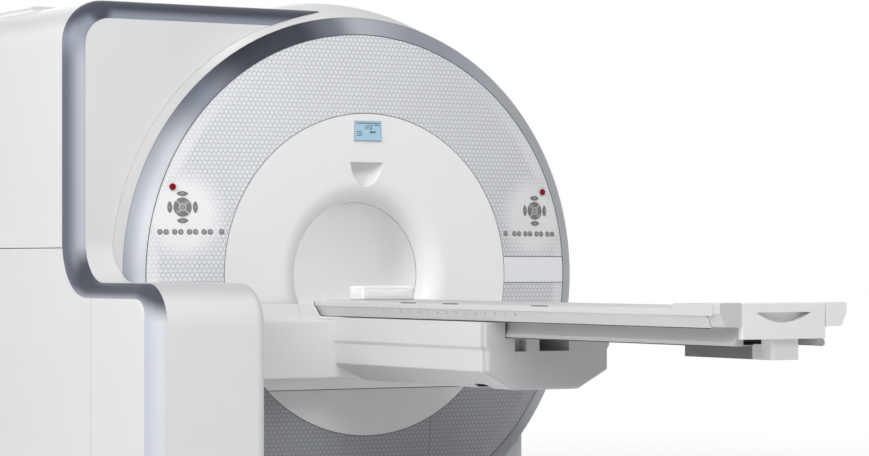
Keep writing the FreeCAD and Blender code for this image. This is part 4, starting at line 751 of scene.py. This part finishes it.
def controlFrame(side):
    # from millimetres on a control plate's face, measured from its middle, to the row frame
    its = keyMarks
    x, z = side * its["centreX"], its["centreZ"]
    radius = hypot(x, z)
    out = Vector((x / radius, 0, z / radius)) * sin(lean) - Vector((0, cos(lean), 0))
    right = (Vector((1, 0, 0)) - out * out.x).normalized()
    up = out.cross(right)
    at = fromBore(x, (radius - cone["rimR"]) * tan(lean), z)
    return Matrix([[right[i], up[i], out[i], at[i]] for i in range(3)] + [[0, 0, 0, 1]]) @ Matrix.Scale(mm, 4)


def addMark(work, matrix, corners, levels):
    addWalls(work, [[matrix @ Vector((x, y, level)) for x, y in corners] for level in levels])


def turnedBox(turn, near, far, right, left):
    # box along a line at this many degrees, between two distances out and two across
    along = Vector((cos(radians(turn)), sin(radians(turn))))
    return [along * u + Vector((-along.y, along.x)) * v for u, v in box(near, far, right, left)]


def addRing(work, matrix, centre, radii, levels, start=0.0, end=360.0, steps=20):
    (outer, inner), (top, bottom) = radii, levels
    whole = end - start >= 360
    sections = []
    for i in range(steps if whole else steps + 1):
        angle = radians(start + (end - start) * i / steps)
        sections.append([matrix @ Vector((*around(centre, radius, angle), level))
                         for radius, level in ((outer, top), (inner, top), (inner, bottom), (outer, bottom))])
    addWalls(work, sections, "joined" if whole else "capped")


def makeSmallMarks(side, word, matrix, levels):
    # each small key has a ring, closed or open, a bar and, on every other one, a stem
    its = keyMarks
    work = bmesh.new()
    first, last, pairs = its["smallFirst"], its["smallLast"], its["pairs"]
    places = [first + (last - first) * i / pairs + side * its["smallPitch"] / 2 for i in range(pairs)
              for side in (-1, 1)] + [last]
    (reach, half), (stemLow, stemHigh) = its["smallBar"], its["smallStem"]
    for i, x in enumerate(places):
        x, y = -side * x, its["smallZ"]
        # the cone curves away from the plate's own plane, so the marks follow it
        spot = matrix @ Vector((x, y, 0))
        radius = hypot(spot.x, spot.z - place["axisZ"]) / mm
        depth = (spot.y - place["rimY"]) / mm - (radius - cone["rimR"]) * tan(lean)
        here = [depth * cos(lean) + level for level in levels]
        end = 360 if i % 2 else 360 - its["smallGap"]
        addRing(work, matrix, (x, y), its["smallRing"], here, 0, end, its["smallSteps"])
        addMark(work, matrix, box(x - reach, x + reach, y - half, y + half), here)
        if i % 2:
            addMark(work, matrix, box(x - half, x + half, y + stemLow, y + stemHigh), here)
    addPiece(word + "_small_marks", work, "padInk")


def makeKeyMarks(side, word):
    its = keyMarks
    matrix = controlFrame(side)
    levels = (its["rise"] + its["print"], its["rise"] - its["sink"])

    def addKeyMark(name, work):
        addPiece(word + "_" + name + "_mark", work, "padInk", word + "_" + name + "_key_body")

    a, line = its["arrow"], its["line"]
    low, high = -a * its["arrowLow"], a * its["arrowHigh"]
    arrow = [(-a, low), (0, high), (a, low), (a, low + line * its["wing"]), (0, high + line * its["tip"]),
             (-a, low + line * its["wing"])]
    for name, x, y, turn in (("up", 0, 1, 0), ("left", -1, 0, 90), ("down", 0, -1, 180),
            ("right", 1, 0, 270)):
        work = bmesh.new()
        spin = turned(turn, "Z")
        points = [spin @ Vector((u, v, 0)) + Vector((x, y, 0)) * its["reach"] for u, v in arrow]
        for half in ((0, 1, 4, 5), (1, 2, 3, 4)):  # two convex halves keep the chevron's faces flat
            addMark(work, matrix, [points[i].xy for i in half], levels)
        addKeyMark(name, work)
    work = bmesh.new()
    addRing(work, matrix, (0, 0), (its["ring"], its["ring"] - line), levels)
    wide, tall = its["centreBar"]
    addMark(work, matrix, box(-wide, wide, -tall, tall), levels)
    addKeyMark("centre", work)
    # light ribs on the plate, between the centre key and the half keys and along their slit
    slit = side * its["slit"]
    work = bmesh.new()
    ribLevels = (its["rise"] - its["ribDrop"], -its["sink"])
    addRing(work, matrix, (0, 0), (its["ribOuter"], its["ribInner"]), ribLevels, steps=its["ribSteps"])
    for turn in (slit, slit + 180):
        corners = turnedBox(turn, its["ribOuter"], its["ribEnd"], -its["ribHalf"], its["ribHalf"])
        addMark(work, matrix, corners, ribLevels)
    addPiece(word + "_rib", work, "padInk")
    for name, sign in (("upper_half", 1), ("lower_half", -1)):
        work = bmesh.new()
        middle = slit + sign * 90
        centre = around((0, 0), its["symbolAt"], radians(middle))
        for i, width in enumerate(its["symbolBars"]):  # a simple table symbol of three bars
            x, y, half = centre[0], centre[1] + (i - 1) * its["symbolPitch"], its["symbolHalf"]
            addMark(work, matrix, box(x - width, x + width, y - half, y + half), levels)
        # printed edge of the half key, round the centre key and along its slit
        addRing(work, matrix, (0, 0), its["edgeRing"], levels, middle - its["edgeTurn"],
            middle + its["edgeTurn"], its["edgeSteps"])
        start, end, near, far = its["edgeLine"]
        for turn, way in ((slit, sign), (slit + 180, -sign)):
            addMark(work, matrix, turnedBox(turn, start, end, way * near, way * far), levels)
        addKeyMark(name, work)
    makeSmallMarks(side, word, matrix, levels)


for side, word in ((-1, "left"), (1, "right")):
    makeKeyMarks(side, word)
print("key marks made")

# recessed button-head screws: round the rear cover and along the roof cover
screwHead = {"radius": 0.0075, "height": 0.0022, "recess": 0.0034, "floor": 0.3, "sides": 24,
    "outline": [(1.0, 0.0), (1.0, 0.35), (0.9, 0.75), (0.68, 1.0)]}
rearScrews = {"count": 16, "ringRadius": 1.118, "depth": 1990.0, "lowest": 0.13, "leftmost": -0.74}
roofScrews = {"left": -1118.0, "right": -560.0, "front": 850.0, "back": 1930.0, "alongX": 2, "alongY": 4,
    "level": 1116.0}


def makeScrewHead():
    # its axis along +Z and its underside at 0, with a hexagonal recess down to a share of its height
    its = screwHead
    angles = [2 * pi * i / its["sides"] for i in range(its["sides"])]
    hexagon = [its["recess"] * cos(pi / 6) / cos(angle % (pi / 3) - pi / 6) for angle in angles]
    rings = [([its["radius"] * share] * its["sides"], level) for share, level in its["outline"]]
    rings += [(hexagon, 1.0), (hexagon, its["floor"])]
    work = bmesh.new()
    addWalls(work, [
        [(*around((0, 0), reach, angle), its["height"] * level) for reach, angle in zip(reaches, angles)]
        for reaches, level in rings])
    return linkedObject("screwHead", fromBmesh("screwHead", work))


def growScrews(name, head, kind, inputs, matrix):
    # screws on the points of a circle or a grid, whose sockets are the tree's inputs

    def build(add, given):
        points = add(kind, {label: (given, label) for label in inputs})
        pattern = add("ObjectInfo", {"Object": head})
        return add("InstanceOnPoints", {"Points": points, "Instance": (pattern, "Geometry")})

    return growMesh(name, inputs, build, "groundSteel", matrix)


def makeScrews():
    head = makeScrewHead()
    rear, roof = rearScrews, roofScrews
    matrix = Matrix.Translation(fromBore(0, rear["depth"], 0)) @ turned(-90,
        "X") @ turned(180 / rear["count"], "Z")
    mesh = growScrews("rearScrews", head, "MeshCircle",
                      {"Vertices": rear["count"], "Radius": rear["ringRadius"]}, matrix)
    # none sits below the cover's cut or under the tower's cover
    work = bmesh.new()
    work.from_mesh(mesh)
    gone = [vert for vert in work.verts if vert.co.z < rear["lowest"] or vert.co.x < rear["leftmost"]]
    bmesh.ops.delete(work, geom=gone, context="VERTS")
    addPiece("rearScrews", work, "groundSteel")
    middle = fromBore((roof["left"] + roof["right"]) / 2, (roof["front"] + roof["back"]) / 2, roof["level"])
    inputs = {"Size X": (roof["right"] - roof["left"]) * mm, "Size Y": (roof["back"] - roof["front"]) * mm,
              "Vertices X": roof["alongX"], "Vertices Y": roof["alongY"]}
    mesh = growScrews("roofScrews", head, "MeshGrid", inputs, Matrix.Translation(middle))
    addPiece("roofScrews", mesh, "groundSteel")
    bpy.data.objects.remove(head)


makeScrews()
print("screws made")

# light seal between the rear roof cover and the rounded side cover (metres)
roofSeal = {"section": [(-1.1525, 2.2652), (-1.1525, 2.2540), (-1.1479, 2.2557), (-1.1300, 2.2612),
                        (-1.1050, 2.2646), (-1.1050, 2.2652)], "inset": 0.0005}


def makeRoofSeal():
    its = roofSeal
    lowest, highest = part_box("rear_roof_cover")
    work = bmesh.new()
    addWalls(work, [[(x, y, z) for x, z in its["section"]]
                    for y in (lowest[1] + its["inset"], highest[1] - its["inset"])])
    addPiece("roofSeal", work, "polishedPolyurethane")


makeRoofSeal()
print("roof seal made")

# head cushion: foam in vinyl-coated cloth, slightly swollen, with piped seams
vinyl = {"shader": "#fafafa", "light": "#fafafb", "dark": "#f6f6f8", "grain": 0.0025, "drift": 0.08}
cushion = {"shrink": 0.988, "voxel": 0.005, "pressure": 3.0, "stiffness": 40, "frames": 20, "swell": 0.0028,
    "foot": 0.012, "weltRadius": 0.0014, "weltLevels": (0.0075, 0.0480), "weltPoints": 22}


def makeVinyl():
    # knitted cloth coated with vinyl: leather-like grain, faint sheen
    add, surface, coords = newMaterial("coatedVinyl", vinyl["shader"], 0.46, Coat_Weight=0.08,
        Sheen_Weight=0.12, Sheen_Roughness=0.4)
    grain = add("TexVoronoi", {"Vector": coords, "Scale": 1 / vinyl["grain"]})
    roughen(add, surface, coords, vinyl["grain"], 0.10, 0.42, 0.52, height=(grain, "Distance"))
    tint(add, surface, coords, vinyl["drift"], vinyl["light"], vinyl["dark"])


def makeWelts(mesh):
    # piped seams round the pad near its foot and its top, laid on the swollen cover
    its = cushion
    spots = [vert.co for vert in mesh.vertices]
    surface = BVHTree.FromPolygons(spots, [tuple(face.vertices) for face in mesh.polygons])
    (x0, x1), (y0, y1), (z0, z1) = [(min(values), max(values)) for values in zip(*spots)]
    corners = box(x0, x1, y0, y1)
    work = bmesh.new()
    for level in its["weltLevels"]:
        curve = bpy.data.curves.new("welt", "CURVE")
        curve.dimensions = "3D"
        curve.bevel_depth = its["weltRadius"]
        curve.bevel_resolution = 2
        line = curve.splines.new("POLY")
        points = []
        for start, end in zip(corners, corners[1:] + corners[:1]):
            for i in range(its["weltPoints"]):
                spot = Vector((*start, z0 + level)).lerp(Vector((*end, z0 + level)), i / its["weltPoints"])
                points.append(surface.find_nearest(spot)[0])
        line.points.add(len(points) - 1)
        for point, spot in zip(line.points, points):
            point.co = (*spot, 1.0)
        line.use_cyclic_u = True
        holder = linkedObject("welt", curve)
        work.from_mesh(evaluatedMesh(holder))
        bpy.data.objects.remove(holder)
    addPiece("cushionWelts", work, "coatedVinyl", "table_top", smooth=True)


def swell(pad):
    # the cover fills like a pressed cushion: held at its foot, and moved no further than the cap
    its = cushion
    rest = [vert.co.copy() for vert in pad.data.vertices]
    low = min(point.z for point in rest)
    pinned = pad.vertex_groups.new(name="seated")
    pinned.add([i for i, point in enumerate(rest) if point.z < low + its["foot"]], 1.0, "REPLACE")
    cloth = pad.modifiers.new("cloth", "CLOTH")
    cloth.settings.use_pressure = True
    cloth.settings.uniform_pressure_force = its["pressure"]
    cloth.settings.effector_weights.gravity = 0.0
    cloth.settings.tension_stiffness = cloth.settings.compression_stiffness = its["stiffness"]
    cloth.settings.vertex_group_mass = "seated"
    cloth.point_cache.frame_end = its["frames"]
    for step in range(1, its["frames"] + 1):
        scene.frame_set(step)
    swollen = evaluatedMesh(pad)
    pad.modifiers.remove(cloth)
    scene.frame_set(1)
    pad.data = swollen
    for vert, start in zip(swollen.vertices, rest):
        move = vert.co - start
        if move.length > its["swell"]:
            vert.co = start + move.normalized() * its["swell"]
    pad.vertex_groups.clear()


def makeCushion():
    its = cushion
    work = bmesh.new()
    work.from_mesh(nodes["head_cushion"].data)
    bmesh.ops.remove_doubles(work, verts=work.verts, dist=1e-5)
    middle = sum((vert.co for vert in work.verts), Vector()) / len(work.verts)
    for vert in work.verts:  # slightly smaller, because the pad swells
        vert.co = middle + (vert.co - middle) * its["shrink"]
    pad = linkedObject("headCushion", fromBmesh("headCushion", work))
    remesh = pad.modifiers.new("remesh", "REMESH")
    remesh.mode = "VOXEL"
    remesh.voxel_size = its["voxel"]
    solid = evaluatedMesh(pad)
    pad.modifiers.remove(remesh)
    pad.data = solid
    swell(pad)
    makeWelts(pad.data)
    pad.data.shade_smooth()
    paint(pad.data, "coatedVinyl")
    subdivision = pad.modifiers.new("smooth", "SUBSURF")
    subdivision.levels = subdivision.render_levels = 1
    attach(pad, "table_top")
    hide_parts("head_cushion")


makeVinyl()
makeCushion()
print("head cushion made")

# pale paper floor: the camera sees it almost white, with the object's shadow kept
paperFloor = {"half": 60.0, "color": "#f4f4f4", "roughness": 0.9, "glow": 0.72, "nearFade": 3.0,
    "farFade": 9.0}


def makeFloor():
    its = paperFloor
    mesh = bpy.data.meshes.new("studioFloor")
    corners = box(-its["half"], its["half"], -its["half"], its["half"])
    mesh.from_pydata([(x, y, 0) for x, y in corners], [], [(0, 1, 2, 3)])
    floor = linkedObject("studioFloor", mesh)
    add, surface, coords = newMaterial("paperFloor", its["color"], its["roughness"])
    output = surface.outputs[0].links[0].to_node
    paths = add("LightPath")
    white = add("Emission", {"Color": (1, 1, 1, 1), "Strength": 1.0})
    distance = add("VectorMath", [coords], operation="LENGTH")
    share = add("MapRange", [(distance, "Value"), its["nearFade"], its["farFade"], its["glow"]], **ease)
    seen = add("Math", [(paths, "Is Camera Ray"), (paths, "Is Glossy Ray")], operation="MAXIMUM")
    factor = add("Math", [share, seen], operation="MULTIPLY")
    mix = add("MixShader", [factor, surface, white])
    feed(output, [mix])
    paint(mesh, "paperFloor")


makeFloor()

# world: even light on the object, and white behind it
studio = {"ambient": 0.31}


def makeWorld():
    world = bpy.data.worlds.new("studio")
    scene.world = world
    world.use_nodes = True
    world.node_tree.nodes.clear()
    add = partial(addNode, world.node_tree)
    paths = add("LightPath")
    ambient, backdrop = [add("Background", {"Color": (1, 1, 1, 1), "Strength": strength})
        for strength in (studio["ambient"], 1.0)]
    seen = (paths, "Is Camera Ray")
    for kind in ("Is Glossy Ray", "Is Transmission Ray"):
        seen = add("Math", [seen, (paths, kind)], operation="MAXIMUM")
    mix = add("MixShader", [seen, ambient, backdrop])
    add("OutputWorld", [mix])


makeWorld()

# soft lamps, and a weak strip along the bore's ceiling
lamps = {
    "keyLamp": {"at": (-8.0, -3.5, 6.0), "aim": (0.0, -0.6, 1.1), "size": (4.0, 4.0), "power": 480},
    "frontLamp": {"at": (-2.5, -8.0, 6.5), "aim": (0.0, -0.8, 1.1), "size": (4.0, 4.0), "power": 275},
    "rearLamp": {"at": (3.0, 10.0, 5.5), "aim": (0.0, 0.9, 1.0), "size": (5.0, 5.0), "power": 260},
    "boreLamp": {"at": (0.0, 0.05, 1.455), "aim": (0.0, 0.05, 1.0), "size": (0.06, 1.6), "power": 1.85},
}
for name, its in lamps.items():
    light = bpy.data.lights.new(name, "AREA")
    light.energy = its["power"]
    light.shape = "RECTANGLE"
    light.size, light.size_y = its["size"]
    lamp = linkedObject(name, light)
    lamp.location = its["at"]
    lamp.rotation_euler = (Vector(its["aim"]) - Vector(its["at"])).to_track_quat("-Z", "Y").to_euler()
    lamp.visible_camera = False

# camera, solved from the circles of the bore, the funnel and the trim ring
cameraAt = {"place": (-6.089, -11.586, 1.218), "turn": 31.18, "lens": 122.54, "shiftY": 0.0388}
cameraData = bpy.data.cameras.new("photoCamera")
cameraData.sensor_width = 36.0
cameraData.lens = cameraAt["lens"]
cameraData.shift_y = cameraAt["shiftY"]
cameraData.clip_end = 200.0
camera = linkedObject("photoCamera", cameraData)
camera.location = cameraAt["place"]
camera.rotation_euler = (radians(90), 0.0, -radians(cameraAt["turn"]))
scene.camera = camera
scene.view_settings.view_transform = "Standard"
print("stage, lamps and camera ready")
